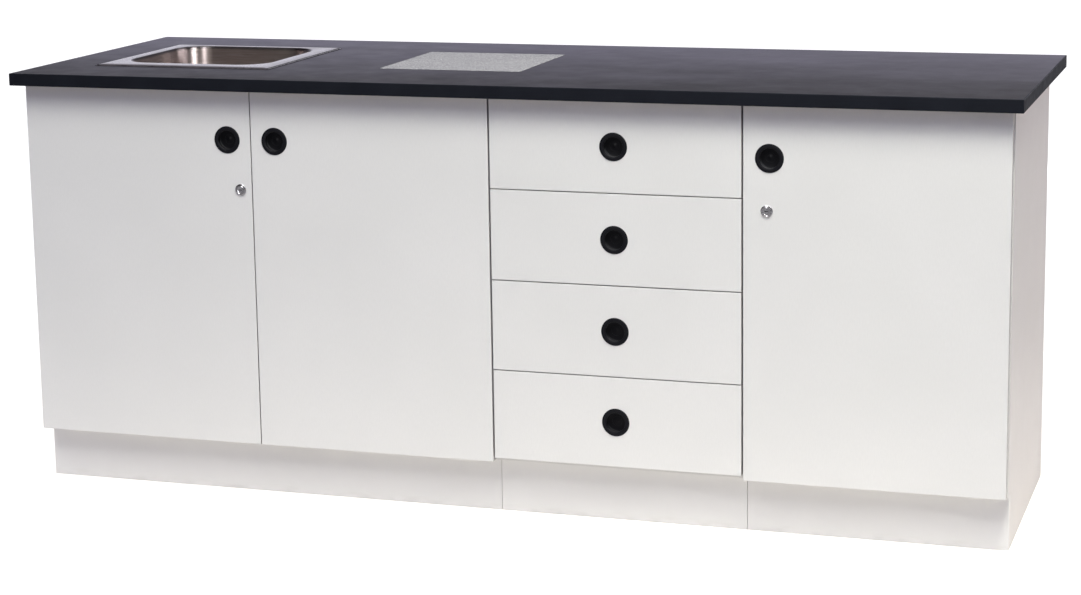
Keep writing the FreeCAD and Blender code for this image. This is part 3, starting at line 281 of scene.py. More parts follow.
def plate_grey():
    """Pressed heat-proof plate: light grey with fine dark and pale specks and shallow pores."""
    made = Finish("plate_grey", Specular_IOR_Level=0.15)
    ground = made.blend(made.spread(made.grain(40, 3.0), 0, 1), (0.300, 0.299, 0.310),
                        (0.348, 0.342, 0.350))
    dark = made.math("LESS_THAN", made.flakes(1.3), 0.16)
    pale = made.math("GREATER_THAN", made.flakes(1.9), 0.84)
    specked = made.blend(dark, ground, (0.17, 0.17, 0.18))
    made.feed("Base Color", made.blend(pale, specked, (0.52, 0.52, 0.52)))
    made.feed("Roughness", made.spread(made.grain(3), 0.55, 0.7))
    made.relief(made.grain(1.2, 4.0), 0.06)
    return made.material


def sealant_black():
    """Black sealant, slightly wavy where it was smoothed off."""
    made = Finish("sealant_black", Specular_IOR_Level=0.08,
                  Base_Color=(0.020, 0.019, 0.024, 1.0))
    made.feed("Roughness", made.spread(made.grain(8), 0.55, 0.70))
    made.relief(made.grain(6, 2.0, stretch=(2, 2, 1)), 0.15)
    return made.material


def sink_steel():
    """Stainless steel of the rim: finely brushed along the bench, a few faint stains, and painted
    shade on the faces that slope toward the front."""
    made = Finish("sink_steel", Metallic=1.0)
    brushed = made.grain(0.3, 3.0, stretch=(160, 1, 160))
    clean = made.blend(made.spread(brushed, 0, 1), (0.58, 0.57, 0.57), (0.70, 0.695, 0.705))
    # painted shade: faces turned toward the front are darker and browner
    painted_shade_facing_front = made.spread(made.faces("Y"), 1.0, 0.0, -0.10, -0.02)
    made.feed("Base Color", made.blend(painted_shade_facing_front, clean, (0.34, 0.305, 0.32)))
    stains = made.spread(made.grain(35, 4.0), -0.03, 0.06)
    made.feed("Roughness", made.math("ADD", made.spread(brushed, 0.24, 0.31), stains))
    made.relief(brushed, 0.006, 0.45)
    return made.material


def bowl_steel():
    """Stainless steel of the bowl and the bent-down edge: drawn level round the walls, so that
    lights run up and down. Its colour is darker and browner than the rim's steel as painted shade,
    with a band of painted shade on the shoulder just under its mouth."""
    made = Finish("bowl_steel", Metallic=1.0, Anisotropic=0.94, Anisotropic_Rotation=0.25)
    round_it = made.add("Tangent", direction_type="UV_MAP", uv_map="drawn")[0]
    made.feed("Tangent", round_it)
    drawn = made.grain(0.5, 3.0, stretch=(90, 90, 1))
    # painted shade: the steel here is darker and browner than the rim's, standing in for shade and
    # dim reflections in the bowl
    wall = made.blend(made.spread(drawn, 0, 1), (0.220, 0.184, 0.175), (0.345, 0.298, 0.289))
    # painted shade: the steel goes dark above these heights, on the shoulder just under the mouth
    dark_from, dark_above = 0.8565, 0.8605
    painted_shade_at_mouth = made.spread(made.at("Z"), 0.0, 1.0, dark_from, dark_above)
    made.feed("Base Color", made.blend(painted_shade_at_mouth, wall, (0.10, 0.088, 0.092)))
    made.feed("Roughness", made.math("ADD", made.spread(drawn, 0.34, 0.46),
                                     made.spread(made.grain(50, 3.0), -0.03, 0.03)))
    made.relief(drawn, 0.004, 0.4)
    return made.material


def metal(name, colour, dull, clouds, relief=0.006, tint=0.9):
    """Plated metal with clouds of the given size, in millimetres, and fine scratches."""
    made = Finish(name, Metallic=1.0)
    patches = made.spread(made.grain(clouds, 4.0), 0, 1)
    darker = [part * tint for part in colour]
    made.feed("Base Color", made.blend(patches, darker, colour))
    scratches = made.spread(made.grain(0.4, 3.0, stretch=(25, 6, 1)), -0.05, 0.09)
    made.feed("Roughness", made.math("ADD", scratches, made.spread(patches, dull, dull * 1.4,
                                                                    0, 1)))
    made.relief(made.grain(0.5, 3.0, stretch=(12, 3, 1)), relief)
    return made.material


def plastic(name, colour, dull, grain, depth, tint=0.88, shine=0.4):
    """Moulded plastic with an even fine texture and a faint flow pattern."""
    made = Finish(name, Specular_IOR_Level=shine)
    flow = made.spread(made.grain(28, 3.0), 0, 1)
    darker = [part * tint for part in colour]
    made.feed("Base Color", made.blend(flow, darker, colour))
    made.feed("Roughness", made.spread(made.grain(9, 3.0), dull - 0.05, dull + 0.07))
    made.relief(made.grain(grain, 2.0), depth)
    return made.material


FINISHES = {
    "melamine_white": board_white(),
    "back_board_white": back_white(),
    "drawer_box_white": drawer_white(),
    "laminate_black": worktop_black(),
    "edging_black": edging_black(),
    "plate_grey": plate_grey(),
    "sealant_black": sealant_black(),
    "sink_steel": sink_steel(),
    "waste_chrome": metal("waste_chrome", (0.68, 0.68, 0.69), 0.14, 12),
    "trap_white": plastic("trap_white", (0.76, 0.76, 0.74), 0.38, 0.8, 0.01, 0.95),
    "pipe_grey": plastic("pipe_grey", (0.30, 0.30, 0.31), 0.42, 0.8, 0.01),
    "pull_black": plastic("pull_black", (0.0042, 0.0042, 0.0068), 0.45, 0.45, 0.02, 0.85, 0.12),
    "lock_chrome": metal("lock_chrome", (0.40, 0.39, 0.405), 0.17, 6, 0.006, 0.7),
    "hardware_nickel": metal("hardware_nickel", (0.60, 0.59, 0.57), 0.24, 9),
    "runner_zinc": metal("runner_zinc", (0.56, 0.58, 0.60), 0.32, 5, 0.01, 0.82),
    "fastener_zinc": metal("fastener_zinc", (0.55, 0.55, 0.52), 0.30, 4, 0.01, 0.82),
}
FRONTS = front_white()
PLINTHS = plinth_white()
BOWL = bowl_steel()

for row in frame["record"]["subparts"]:
    name = row["node"]
    coat = FINISHES[row["material_slot"]]
    if name.endswith("_panel") or name.endswith("_front"):
        coat = FRONTS
    if name.endswith("_plinth"):
        coat = PLINTHS
    for held in nodes[name].material_slots:
        held.material = coat


# ---------------------------------------------------------------- shaping

def smooth(mesh, crease):
    """Round the look of every edge that turns less than crease degrees."""
    mesh.polygons.foreach_set("use_smooth", [True] * len(mesh.polygons))
    mesh.set_sharp_from_angle(angle=math.radians(crease))


def put(name, mesh, body, slot, stands_for=(), coats=()):
    """Set out a finished piece: its coats, its body and the solids it stands for.

    A mesh that a pattern made has its coat already.
    """
    piece = bpy.data.objects.new(name, mesh)
    bpy.context.scene.collection.objects.link(piece)
    if not mesh.materials:
        for coat in coats or (FINISHES[slot],):
            mesh.materials.append(coat)
    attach(piece, body)
    if stands_for:
        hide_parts(*stands_for)


def plain(made, name):
    """The finished mesh of a built shape."""
    mesh = bpy.data.meshes.new(name)
    made.to_mesh(mesh)
    made.free()
    return mesh


def shaped(made, name, crease):
    """The mesh of a closed shape, with its faces turned outwards and its soft edges rounded."""
    bmesh.ops.recalc_face_normals(made, faces=made.faces)
    mesh = plain(made, name)
    smooth(mesh, crease)
    return mesh


def skin(made, rings):
    """Rows of faces that join each ring of points to the next, and the last to the first."""
    rows = []
    for number, first in enumerate(rings):
        second = rings[(number + 1) % len(rings)]
        rows.append([])
        for spot in range(len(first)):
            after = (spot + 1) % len(first)
            rows[-1].append(made.faces.new((first[spot], first[after], second[after],
                                            second[spot])))
    return rows


def turned(made, profile, middle, turn=None, steps=72):
    """Add a shape turned about Z through (radius, height) corners in millimetres.

    The profile starts and ends on the axis, or is a closed loop. Turn and middle place it.
    """
    place = Matrix.Translation(middle) @ (turn or Matrix.Identity(4))
    rings = []
    for radius, height in profile:
        if radius < 1e-6:
            rings.append([made.verts.new(place @ mm(0, 0, height))])
            continue
        rings.append([made.verts.new(place @ mm(radius * math.cos(angle), radius * math.sin(angle),
                                                height))
                      for angle in (2 * math.pi * step / steps for step in range(steps))])
    closed = len(rings[0]) > 1
    for number in range(len(rings) if closed else len(rings) - 1):
        first, second = rings[number], rings[(number + 1) % len(rings)]
        for step in range(steps):
            after = (step + 1) % steps
            corners = [first[step % len(first)], first[after % len(first)],
                       second[after % len(second)], second[step % len(second)]]
            face = list(dict.fromkeys(corners))     # a point on the axis counts once
            if len(face) > 2:
                made.faces.new(face)


FORWARD = Matrix.Rotation(math.radians(90), 4, "X")


# ---------------------------------------------------------------- sink

def square_ring(half_x, half_y, corner, x, y, z, bends=14, runs=10):
    """Points round a rectangle with rounded corners, in millimetres."""
    sides = ((1, 1), (-1, 1), (-1, -1), (1, -1))

    def bent(quarter, turn):
        """The point of a rounded corner that lies turn degrees round from its middle."""
        side_x, side_y = sides[quarter % 4]
        angle = math.radians(turn)
        return (side_x * (half_x - corner) + corner * math.cos(angle),
                side_y * (half_y - corner) + corner * math.sin(angle))

    points = []
    for quarter in range(4):
        points += [bent(quarter, 90 * (quarter + bend / bends)) for bend in range(bends + 1)]
        start, end = points[-1], bent(quarter + 1, 90 * (quarter + 1))
        for run in range(1, runs):
            part = run / runs
            points.append((start[0] + (end[0] - start[0]) * part,
                           start[1] + (end[1] - start[1]) * part))
    return [mm(x + across, y + along, z) for across, along in points]


RIM_RISE = 3.5          # the top of the rim above the worktop, in millimetres
BRIGHT, DULL_SHADED = 0, 1     # the coats of the rim, and of the bowl and the bent-down edge, whose steel is painted darker as shade


def sink_sections(top, half, rim_y):
    """Level cuts through the sink's sheet: in over the rim, down the bowl to the waste hole,
    and back along the underside.

    Each is its half width, half depth, corner radius, middle in Y, height and coat.
    """
    bowl_y, floor = rim_y + 7, top - 160
    wall_x, wall_y, bend = 157.0, 154.0, 60.0
    sheet, shoulder, cove, hole = 1.2, 5.5, 26.0, 20.5
    edge = [(half, half, 4, rim_y, top - drop, DULL_SHADED) for drop in (RIM_RISE, 2.6)]
    slope = [(half - inset, half - inset, 4 - inset / 8, rim_y, top - drop, BRIGHT)
             for inset, drop in ((0.35, 2.2), (1.5, 1.8), (5.0, 1.15), (10.0, 0.45),
                                 (14.0, 0.1), (16.0, 0.0))]
    bowl = []
    for part in (0.0, 0.2, 0.4, 0.6, 0.8, 1.0):
        turn = math.radians(90 * part)
        out = shoulder * (1 - math.sin(turn))
        bowl.append((wall_x + out, wall_y + out, bend + out, bowl_y,
                     top - shoulder * (1 - math.cos(turn)), DULL_SHADED if part else BRIGHT))
    for depth in (30, 70, 110):
        draft = depth * 0.008
        bowl.append((wall_x - draft, wall_y - draft, bend - draft, bowl_y, top - depth, DULL_SHADED))
    for part in (0.0, 0.15, 0.3, 0.45, 0.6, 0.75, 0.9, 1.0):
        turn = math.radians(86 * part)
        inset = 1.1 + cove * (1 - math.cos(turn))
        bowl.append((wall_x - inset, wall_y - inset, bend - inset * 0.9, bowl_y,
                     floor + 1.5 + cove * (1 - math.sin(turn)), DULL_SHADED))
    for reach, corner, rise in ((100, 42, 1.1), (66, 42, 0.6), (38, 34.2, 0.1)):
        bowl.append((reach, reach, corner, bowl_y, floor + rise, DULL_SHADED))
    bowl.append((hole, hole, hole, bowl_y, floor, DULL_SHADED))
    inner = half - sheet
    below = [(inner, inner, 3, rim_y, top - drop, BRIGHT) for drop in (RIM_RISE, 2.9)]
    below += [(x - sheet, y - sheet, max(corner - sheet, 2), at, z - sheet, BRIGHT)
              for x, y, corner, at, z, _ in slope[2:]]
    below += [(x + sheet, y + sheet, corner + sheet, at, z - sheet * 0.6, BRIGHT)
              for x, y, corner, at, z, _ in bowl[:-1]]
    below.append((hole, hole, hole, bowl_y, floor - sheet, BRIGHT))
    return edge + slope + bowl + below[::-1]


def pressed_sink():
    """One pressed sheet: a rim with a bent-down edge, soft shoulders, coved walls and a fall
    to the waste hole."""
    low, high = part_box("sink_bowl")
    middle_x, rim_y = (low.x + high.x) * 500, (low.y + high.y) * 500
    sections = sink_sections(high.z * 1000, (high.x - low.x) * 500, rim_y)
    made = bmesh.new()
    drawn = made.loops.layers.uv.new("drawn")
    rings = [[made.verts.new(point) for point in square_ring(x, y, corner, middle_x, at, z)]
             for x, y, corner, at, z, _ in sections]
    run = 0.0
    for number, row in enumerate(skin(made, rings)):
        after = (number + 1) % len(rings)
        step = (rings[after][0].co - rings[number][0].co).length
        for spot, wall in enumerate(row):
            wall.material_index = min(sections[number][-1], sections[after][-1])
            for loop, (u, v) in zip(wall.loops, ((spot, run), (spot + 1, run),
                                                 (spot + 1, run + step), (spot, run + step))):
                loop[drawn].uv = (u / len(row), v)
        run += step
    put("pressed_sink", shaped(made, "pressed_sink", 40), "cabinets", "sink_steel",
        ("sink_bowl",), (FINISHES["sink_steel"], BOWL))


def rim_bead():
    """A thin bead of black sealant drawn round the outside of the sink's rim; its black also
    stands in for the painted shadow line under the rim's edge.
    """
    low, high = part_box("sink_bowl")
    x, y = (low.x + high.x) * 500, (low.y + high.y) * 500
    half, worktop = (high.x - low.x) * 500, high.z * 1000 - RIM_RISE
    made = bmesh.new()
    skin(made, [[made.verts.new(point) for point in
                 square_ring(half + out, half + out, 4 + out, x, y, worktop + rise, 6, 30)]
                for out, rise in ((-0.4, 0.0), (2.6, 0.0), (2.4, 0.2), (1.4, 0.45), (0.5, 0.8),
                                  (-0.4, 0.95))])
    put("rim_bead", shaped(made, "rim_bead", 50), "cabinets", "sealant_black")


# ---------------------------------------------------------------- pulls and locks

def finger_pull(solid, body):
    """A moulded cup with a crowned ring, a rounded lip and a ribbed hollow behind it."""
    low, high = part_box(solid)
    lip = 1.5
    middle = mm((low.x + high.x) * 500, low.y * 1000 + lip, (low.z + high.z) * 500)
    # radius, and depth behind the face of the front
    hollow = [(0, 12.1), (2.0, 12.1), (2.4, 12.5), (9.0, 12.5), (9.3, 12.1), (10.1, 12.1),
              (10.4, 12.5), (18.6, 12.5), (20.2, 12.1), (21.1, 11.2), (21.5, 9.8), (21.5, 4.2),
              (21.2, 3.5), (20.5, 3.1), (19.6, 2.9), (19.1, 2.3), (19.0, 1.2), (19.0, 0.2),
              (19.2, -0.5), (19.7, -1.05), (20.5, -1.35), (22.0, -1.48), (24.6, -1.5),
              (26.0, -1.38), (26.9, -1.05), (27.4, -0.5), (27.5, 0.0), (23.0, 0.0), (23.0, 13.4),
              (22.4, 14.0), (0, 14.0)]
    made = bmesh.new()
    turned(made, [(radius, -depth) for radius, depth in hollow], middle, FORWARD)
    name = solid + "_moulded"
    put(name, shaped(made, name, 50), body, "pull_black", (solid,))


def lock_ring(solid, body):
    """A plated ring with a coned face and a groove, its threaded barrel and a six-sided nut."""
    low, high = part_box(solid)
    rim, core, barrel = 2.5, 6.05, 9.0
    middle = mm((low.x + high.x) * 500, low.y * 1000 + rim, (low.z + high.z) * 500)
    rear = (high.y - low.y) * 1000 - rim
    # radius, and depth behind the face of the door
    profile = [(core, -2.2), (6.3, -2.45), (6.7, -2.5), (7.3, -2.5), (7.6, -2.35), (7.7, -2.0),
               (8.0, -1.85), (8.3, -2.0), (8.4, -2.35), (8.7, -2.48), (9.3, -2.45),
               (10.6, -2.15), (11.3, -1.75), (11.65, -1.2), (11.75, -0.5), (11.75, 0.0),
               (barrel, 0.0)]
    depth, pitch = 17.0, 0.8
    while depth < rear - 0.6:
        profile += [(barrel, depth), (barrel - 0.4, depth + pitch / 2)]
        depth += pitch
    profile += [(8.8, rear), (core, rear)]
    made = bmesh.new()
    turned(made, [(radius, -along) for radius, along in profile], middle, FORWARD, 60)
    nut, half_flats, steps, sixth = 18.0, 9.55, 48, math.pi / 3
    rings = []
    for radius, along in ((barrel, nut), (10.2, nut), (11.0, nut + 0.4), (11.0, nut + 1.8),
                          (10.2, nut + 2.2), (barrel, nut + 2.2)):
        ring = []
        for angle in (2 * math.pi * step / steps for step in range(steps)):
            flat = half_flats / math.cos((angle + sixth / 2) % sixth - sixth / 2)
            reach = min(radius, flat) if radius > barrel else radius
            ring.append(made.verts.new(middle + mm(reach * math.cos(angle), along,
                                                   reach * math.sin(angle))))
        rings.append(ring)
    skin(made, rings)
    name = solid + "_plated"
    put(name, shaped(made, name, 22), body, "lock_chrome", (solid,))


# ---------------------------------------------------------------- repeated shapes

class Pattern:
    """A node tree that repeats a shape: named sizes, steps, and the coat it ends with."""

    def __init__(self, name, coat, **sizes):
        self.tree = bpy.data.node_groups.new(name, "GeometryNodeTree")
        self.coat = coat
        ends = self.tree.interface
        ends.new_socket("Start", in_out="INPUT", socket_type="NodeSocketGeometry")
        ends.new_socket("Made", in_out="OUTPUT", socket_type="NodeSocketGeometry")
        self.given = {}
        for label, size in sizes.items():
            kind = {int: "Int", float: "Float"}.get(type(size), "Vector")
            socket = ends.new_socket(label.replace("_", " "), in_out="INPUT",
                                     socket_type="NodeSocket" + kind)
            self.given[label] = (socket.identifier, size)
        self.size = self.tree.nodes.new("NodeGroupInput").outputs

    def step(self, kind, inputs=None, **settings):
        """The outputs of a new node."""
        return new_node(self.tree, kind, inputs, **settings)

    def sum(self, operation, first, second):
        """A sum or product of two sizes."""
        return self.step("ShaderNodeMath", {0: first, 1: second}, operation=operation)[0]

    def vector(self, x=0.0, y=0.0, z=0.0):
        """Three sizes as one vector."""
        return self.step("ShaderNodeCombineXYZ", {0: x, 1: y, 2: z})[0]

    def cylinder(self, sides, radius, length):
        """A cylinder along Z, round its middle."""
        return self.step("GeometryNodeMeshCylinder", {"Vertices": sides, "Radius": radius,
                                                      "Depth": length})["Mesh"]

    def moved(self, shape, **change):
        """The shape, moved, turned or scaled."""
        return self.step("GeometryNodeTransform", {"Geometry": shape, **change})[0]

    def joined(self, shapes):
        """Several shapes as one."""
        return self.step("GeometryNodeJoinGeometry", {"Geometry": shapes})[0]

    def less(self, shape, cutters):
        """The shape with the cutters taken out of it."""
        return self.step("GeometryNodeMeshBoolean", {"Mesh 1": shape, "Mesh 2": cutters},
                         operation="DIFFERENCE", solver="EXACT")[0]

    def copies(self, points, shape):
        """The shape at every point, unturned, as a plain mesh."""
        set_out = self.step("GeometryNodeInstanceOnPoints", {"Points": points,
                                                             "Instance": shape})[0]
        return self.step("GeometryNodeRealizeInstances", {"Geometry": set_out})[0]

    def repeat(self, points, shape, spin=None):
        """The shape at every point, its Z along the point's aim, turned about it by spin."""
        aim = self.step("GeometryNodeInputNamedAttribute", {"Name": "aim"},
                        data_type="FLOAT_VECTOR")[0]
        facing = self.step("FunctionNodeAlignRotationToVector", {"Vector": aim}, axis="Z")[0]
        if spin:
            about = self.step("FunctionNodeAxisAngleToRotation", {"Axis": (0, 0, 1),
                                                                  "Angle": spin})[0]
            facing = self.step("FunctionNodeRotateRotation", {"Rotation": facing,
                                                              "Rotate By": about},
                               rotation_space="LOCAL")[0]
        return self.step("GeometryNodeInstanceOnPoints", {"Points": points, "Instance": shape,
                                                          "Rotation": facing})[0]

    def end(self, shape):
        """Make the repeats real and give them their coat."""
        real = self.step("GeometryNodeRealizeInstances", {"Geometry": shape})[0]
        painted = self.step("GeometryNodeSetMaterial", {"Geometry": real,
                                                        "Material": self.coat})[0]
        out = self.tree.nodes.new("NodeGroupOutput")
        self.tree.links.new(painted, out.inputs[0])

    def make(self, name, start, **sizes):
        """The plain mesh that the tree makes from a starting mesh."""
        holder = bpy.data.objects.new(name, start)
        bpy.context.scene.collection.objects.link(holder)
        pattern = holder.modifiers.new("pattern", "NODES")
        pattern.node_group = self.tree
        for label, (identifier, size) in self.given.items():
            pattern[identifier] = sizes.get(label, size)
        depsgraph = bpy.context.evaluated_depsgraph_get()
        mesh = bpy.data.meshes.new_from_object(holder.evaluated_get(depsgraph),
                                               depsgraph=depsgraph)
        holder.modifiers.remove(pattern)
        bpy.data.objects.remove(holder)
        mesh.name = name
        return mesh


def spots(places):
    """A mesh of bare points in millimetres, each with the way its repeat faces."""
    mesh = bpy.data.meshes.new("spots")
    mesh.from_pydata([mm(*place) for place, _ in places], [], [])
    aims = mesh.attributes.new("aim", "FLOAT_VECTOR", "POINT")
    aims.data.foreach_set("vector", [float(part) for _, aim in places for part in aim])
    return mesh


def screw_pattern():
    """Pan-head screws with a cross recess, each turned as it was driven."""
    made = Pattern("screw_heads", FINISHES["fastener_zinc"], Head_radius=0.003,
                   Head_height=0.0014, Recess_width=0.0008, Recess_length=0.0034,
                   Recess_depth=0.0009)
    radius, height = made.size["Head radius"], made.size["Head height"]
    half = made.sum("MULTIPLY", height, 0.5)
    shoulder, crest = (made.sum("MULTIPLY", radius, part) for part in (0.93, 0.66))
    rim, crown = (made.step("GeometryNodeMeshCone", {
        "Vertices": 20, "Side Segments": 1, "Radius Bottom": lower, "Radius Top": upper,
        "Depth": half})[0] for lower, upper in ((radius, shoulder), (shoulder, crest)))
    crown = made.moved(crown, Translation=made.vector(z=half))
    long, wide, deep = (made.size["Recess " + part] for part in ("length", "width", "depth"))
    slots = []
    for across, along in ((long, wide), (wide, long)):
        slot = made.step("GeometryNodeMeshCube", {
            "Size": made.vector(across, along, made.sum("MULTIPLY", deep, 2.0))})[0]
        slots.append(made.moved(slot, Translation=made.vector(z=height)))
    head = made.joined([rim, made.less(crown, slots)])
    spin = made.step("FunctionNodeRandomValue", {2: 0.0, 3: 1.57, "Seed": 11},
                     data_type="FLOAT")[1]
    made.end(made.repeat(made.size["Start"], head, spin))
    return made


def bumper_pattern():
    """Soft domed bumpers that a front meets its cabinet with."""
    made = Pattern("bumpers", FINISHES["trap_white"], Radius=0.004, Height=0.0029)
    radius = made.size["Radius"]
    ball = made.step("GeometryNodeMeshUVSphere", {"Segments": 20, "Rings": 12,
                                                  "Radius": radius})[0]
    flat = made.sum("DIVIDE", made.size["Height"], radius)
    ball = made.moved(ball, Scale=made.vector(1.0, 1.0, flat))
    span = made.sum("MULTIPLY", radius, 4.0)
    below = made.step("GeometryNodeMeshCube", {"Size": made.vector(span, span, span)})[0]
    below = made.moved(below, Translation=made.vector(z=made.sum("MULTIPLY", span, -0.5)))
    made.end(made.repeat(made.size["Start"], made.less(ball, [below])))
    return made


def strainer_pattern():
    """A thin disc with rings of round holes."""
    made = Pattern("strainer", FINISHES["waste_chrome"], Disc_radius=0.0173,
                   Disc_thickness=0.0012, Hole_radius=0.0015, First_ring=0.0052,
                   Ring_step=0.0045, Holes_in_first=6)
    thick = made.size["Disc thickness"]
    disc = made.cylinder(64, made.size["Disc radius"], thick)
    rings = []
    for number in (0.0, 1.0, 2.0):
        reach = made.sum("ADD", made.size["First ring"],
                         made.sum("MULTIPLY", made.size["Ring step"], number))
        count = made.sum("MULTIPLY", made.size["Holes in first"], number + 1)
        rings.append(made.step("GeometryNodeMeshCircle", {"Vertices": count,
                                                          "Radius": reach})[0])
    drill = made.cylinder(12, made.size["Hole radius"], made.sum("MULTIPLY", thick, 3.0))
    drills = made.copies(made.joined(rings), drill)
    made.end(made.repeat(made.size["Start"], made.less(disc, [drills])))
    return made


def grip_pattern():
    """Rounded ribs round a nut, for the fingers."""
    made = Pattern("nut_grips", FINISHES["trap_white"], Nut_radius=0.030, Rib_radius=0.0011,
                   Rib_length=0.010, Ribs=24)
    ring = made.step("GeometryNodeMeshCircle", {"Vertices": made.size["Ribs"],
                                                "Radius": made.size["Nut radius"]})[0]
    rib = made.cylinder(8, made.size["Rib radius"], made.size["Rib length"])
    made.end(made.repeat(made.size["Start"], made.copies(ring, rib)))
    return made


def shelf_hole_pattern():
    """Two upright rows of blind holes in a board, above and below the holes in use."""
    made = Pattern("shelf_holes", FINISHES["melamine_white"], Front_row=(0.0, 0.0, 0.0),
                   Rear_row=(0.0, 0.0, 0.0), Hole_radius=0.0025, Hole_depth=0.008,
                   Pitch=0.032, Holes_each_way=8)
    lines = []
    for way in (1.0, -1.0):
        step = made.vector(z=made.sum("MULTIPLY", made.size["Pitch"], way))
        lines.append(made.step("GeometryNodeMeshLine", {
            "Count": made.size["Holes each way"], "Start Location": step, "Offset": step},
            mode="OFFSET")[0])
    line = made.joined(lines)
    rows = made.joined([made.moved(line, Translation=made.size[row])
                        for row in ("Front row", "Rear row")])
    drill = made.cylinder(16, made.size["Hole radius"],
                          made.sum("MULTIPLY", made.size["Hole depth"], 2.0))
    drills = made.copies(rows, made.moved(drill, Rotation=(0.0, math.pi / 2, 0.0)))
    made.end(made.less(made.size["Start"], [drills]))
    return made


DOORS = ("door_left", "door_right", "cupboard_door")
DRAWERS = ("drawer_1", "drawer_2", "drawer_3", "drawer_4")

# places on the bench, in millimetres
HINGE_HEIGHTS = (201.0, 742.0)
RUNNER_HEIGHTS = (730.625, 551.25, 371.875, 192.5)
FRONTS_REAR = -312.0
BOARDS_REAR = 230.0
DRAIN = (-712.0, 3.5)


def screw_places():
    """Where each body's screws are, and the way their heads face."""
    found = {"cabinets": []}
    cup_flange, cup_screws = 1.2, 20.6
    for door, across in zip(DOORS, (-977.75, -22.25, 977.75)):
        found[door] = [((across, FRONTS_REAR + cup_flange, height + side), (0, 1, 0))
                       for height in HINGE_HEIGHTS for side in (-cup_screws, cup_screws)]
    cabinets = found["cabinets"]
    for arm_plate, aim in ((-980, 1), (-20, -1), (980, -1)):
        for height in HINGE_HEIGHTS:
            cabinets += [((arm_plate, along, height), (aim, 0, 0)) for along in (-286, -260)]
    for height in RUNNER_HEIGHTS:
        for runner, aim in ((19.2, 1), (480.8, -1)):
            cabinets += [((runner, along, height), (aim, 0, 0))
                         for along in (-275, -115, 45, 165)]
    from_side = 30
    for left, right, count in ((-982, -18, 7), (18, 482, 4), (518, 982, 4)):
        step = (right - left - 2 * from_side) / (count - 1)
        for height in (119, 800):
            cabinets += [((left + from_side + step * number, BOARDS_REAR, height), (0, 1, 0))
                         for number in range(count)]
    clip_foot, strike_face = 833.5, 519.5
    cabinets += [((across, along, clip_foot), (0, 0, -1))
                 for across in (-797, -627) for along in (-168.5, 175.5)]
    cabinets += [((strike_face, -292, height), (1, 0, 0)) for height in (628, 641)]
    for drawer, height in zip(DRAWERS, RUNNER_HEIGHTS):
        found[drawer] = [((runner, along, height), (aim, 0, 0))
                         for runner, aim in ((29.5, -1), (470.5, 1)) for along in (-285, -60, 150)]
        found[drawer] += [((across, -300, height + 8), (0, 1, 0)) for across in (120, 380)]
    return found


def set_screws():
    """One mesh of screw heads for each body."""
    pattern = screw_pattern()
    for body, places in screw_places().items():
        mesh = pattern.make(body + "_screws", spots(places))
        smooth(mesh, 25)
        put(body + "_screws", mesh, body, "fastener_zinc")


def set_bumpers():
    """Bumpers on the backs of the doors and drawer fronts."""
    pattern = bumper_pattern()
    wanted = {"door_left": [(-520, 826), (-520, 119)], "door_right": [(-480, 826), (-480, 119)],
              "cupboard_door": [(509, 824), (509, 121)]}
    for drawer, height in zip(DRAWERS, RUNNER_HEIGHTS):
        wanted[drawer] = [(9, height + 90), (491, height + 90)]
    for body, corners in wanted.items():
        places = [((across, FRONTS_REAR, up), (0, 1, 0)) for across, up in corners]
        mesh = pattern.make(body + "_bumpers", spots(places))
        smooth(mesh, 40)
        put(body + "_bumpers", mesh, body, "trap_white")


def drilled_sides():
    """The cupboard's side boards with their rows of shelf holes."""
    pattern = shelf_hole_pattern()
    front_row, rear_row, holes_in_use = -208, 172, 470.5
    for board, face in (("cupboard_side_left", 518), ("cupboard_side_right", 982)):
        made = bmesh.new()
        made.from_mesh(nodes[board].data)
        bmesh.ops.remove_doubles(made, verts=made.verts, dist=1e-6)
        mesh = pattern.make(board + "_drilled", plain(made, board),
                            Front_row=tuple(mm(face, front_row, holes_in_use)),
                            Rear_row=tuple(mm(face, rear_row, holes_in_use)))
        put(board + "_drilled", mesh, "cabinets", "melamine_white", (board,))


def bottle_trap():
    """A moulded bottle trap: neck nut, body, screwed-on cup and a side outlet with its nut."""
    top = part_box("bottle_trap")[1].z * 1000
    # radius, and height from the top of the neck nut
    shell = [(0, -117.4), (12, -117.0), (19, -114.8), (24, -110.2), (26, -104), (26, -5.5),
             (20.2, -5.5), (20.2, 0), (28.4, 0), (29.6, -0.8), (30.2, -2.2), (30.2, -14.6),
             (29.6, -15.8), (28.7, -16.4), (28.4, -17.2), (28.4, -60.4), (28.8, -61.2),
             (29.6, -61.6), (30.2, -62.6), (30.2, -75.4), (29.6, -76.6), (28.9, -77.2),
             (28.7, -79), (28.2, -103), (27.4, -108), (25.2, -112.4), (21, -116.2),
             (14, -118.8), (7, -119.8), (0, -120)]
    # radius, and distance behind the middle of the trap
    outlet = [(17.5, 26), (20.6, 26), (20.6, 34.4), (21.4, 34.8), (22.1, 35.8), (22.1, 38.8),
              (21.6, 39.75), (17.5, 39.75)]
    outlet_drop = 32
    made = bmesh.new()
    turned(made, shell, mm(*DRAIN, top))
    turned(made, [(radius, -along) for radius, along in outlet], mm(*DRAIN, top - outlet_drop),
           FORWARD)
    put("bottle_trap_moulded", shaped(made, "bottle_trap_moulded", 35), "cabinets", "trap_white",
        ("bottle_trap",))
    grips = grip_pattern()
    waste_nut = 697.3
    joined = bmesh.new()
    for height, radius, length in ((top - 8.4, 0.0300, 0.0115), (top - 69, 0.0300, 0.0110),
                                   (waste_nut, 0.0299, 0.0090)):
        joined.from_mesh(grips.make("ring", spots([((*DRAIN, height), (0, 0, 1))]),
                                    Nut_radius=radius, Rib_length=length))
    mesh = plain(joined, "trap_grips")
    smooth(mesh, 50)
    put("trap_grips", mesh, "cabinets", "trap_white")


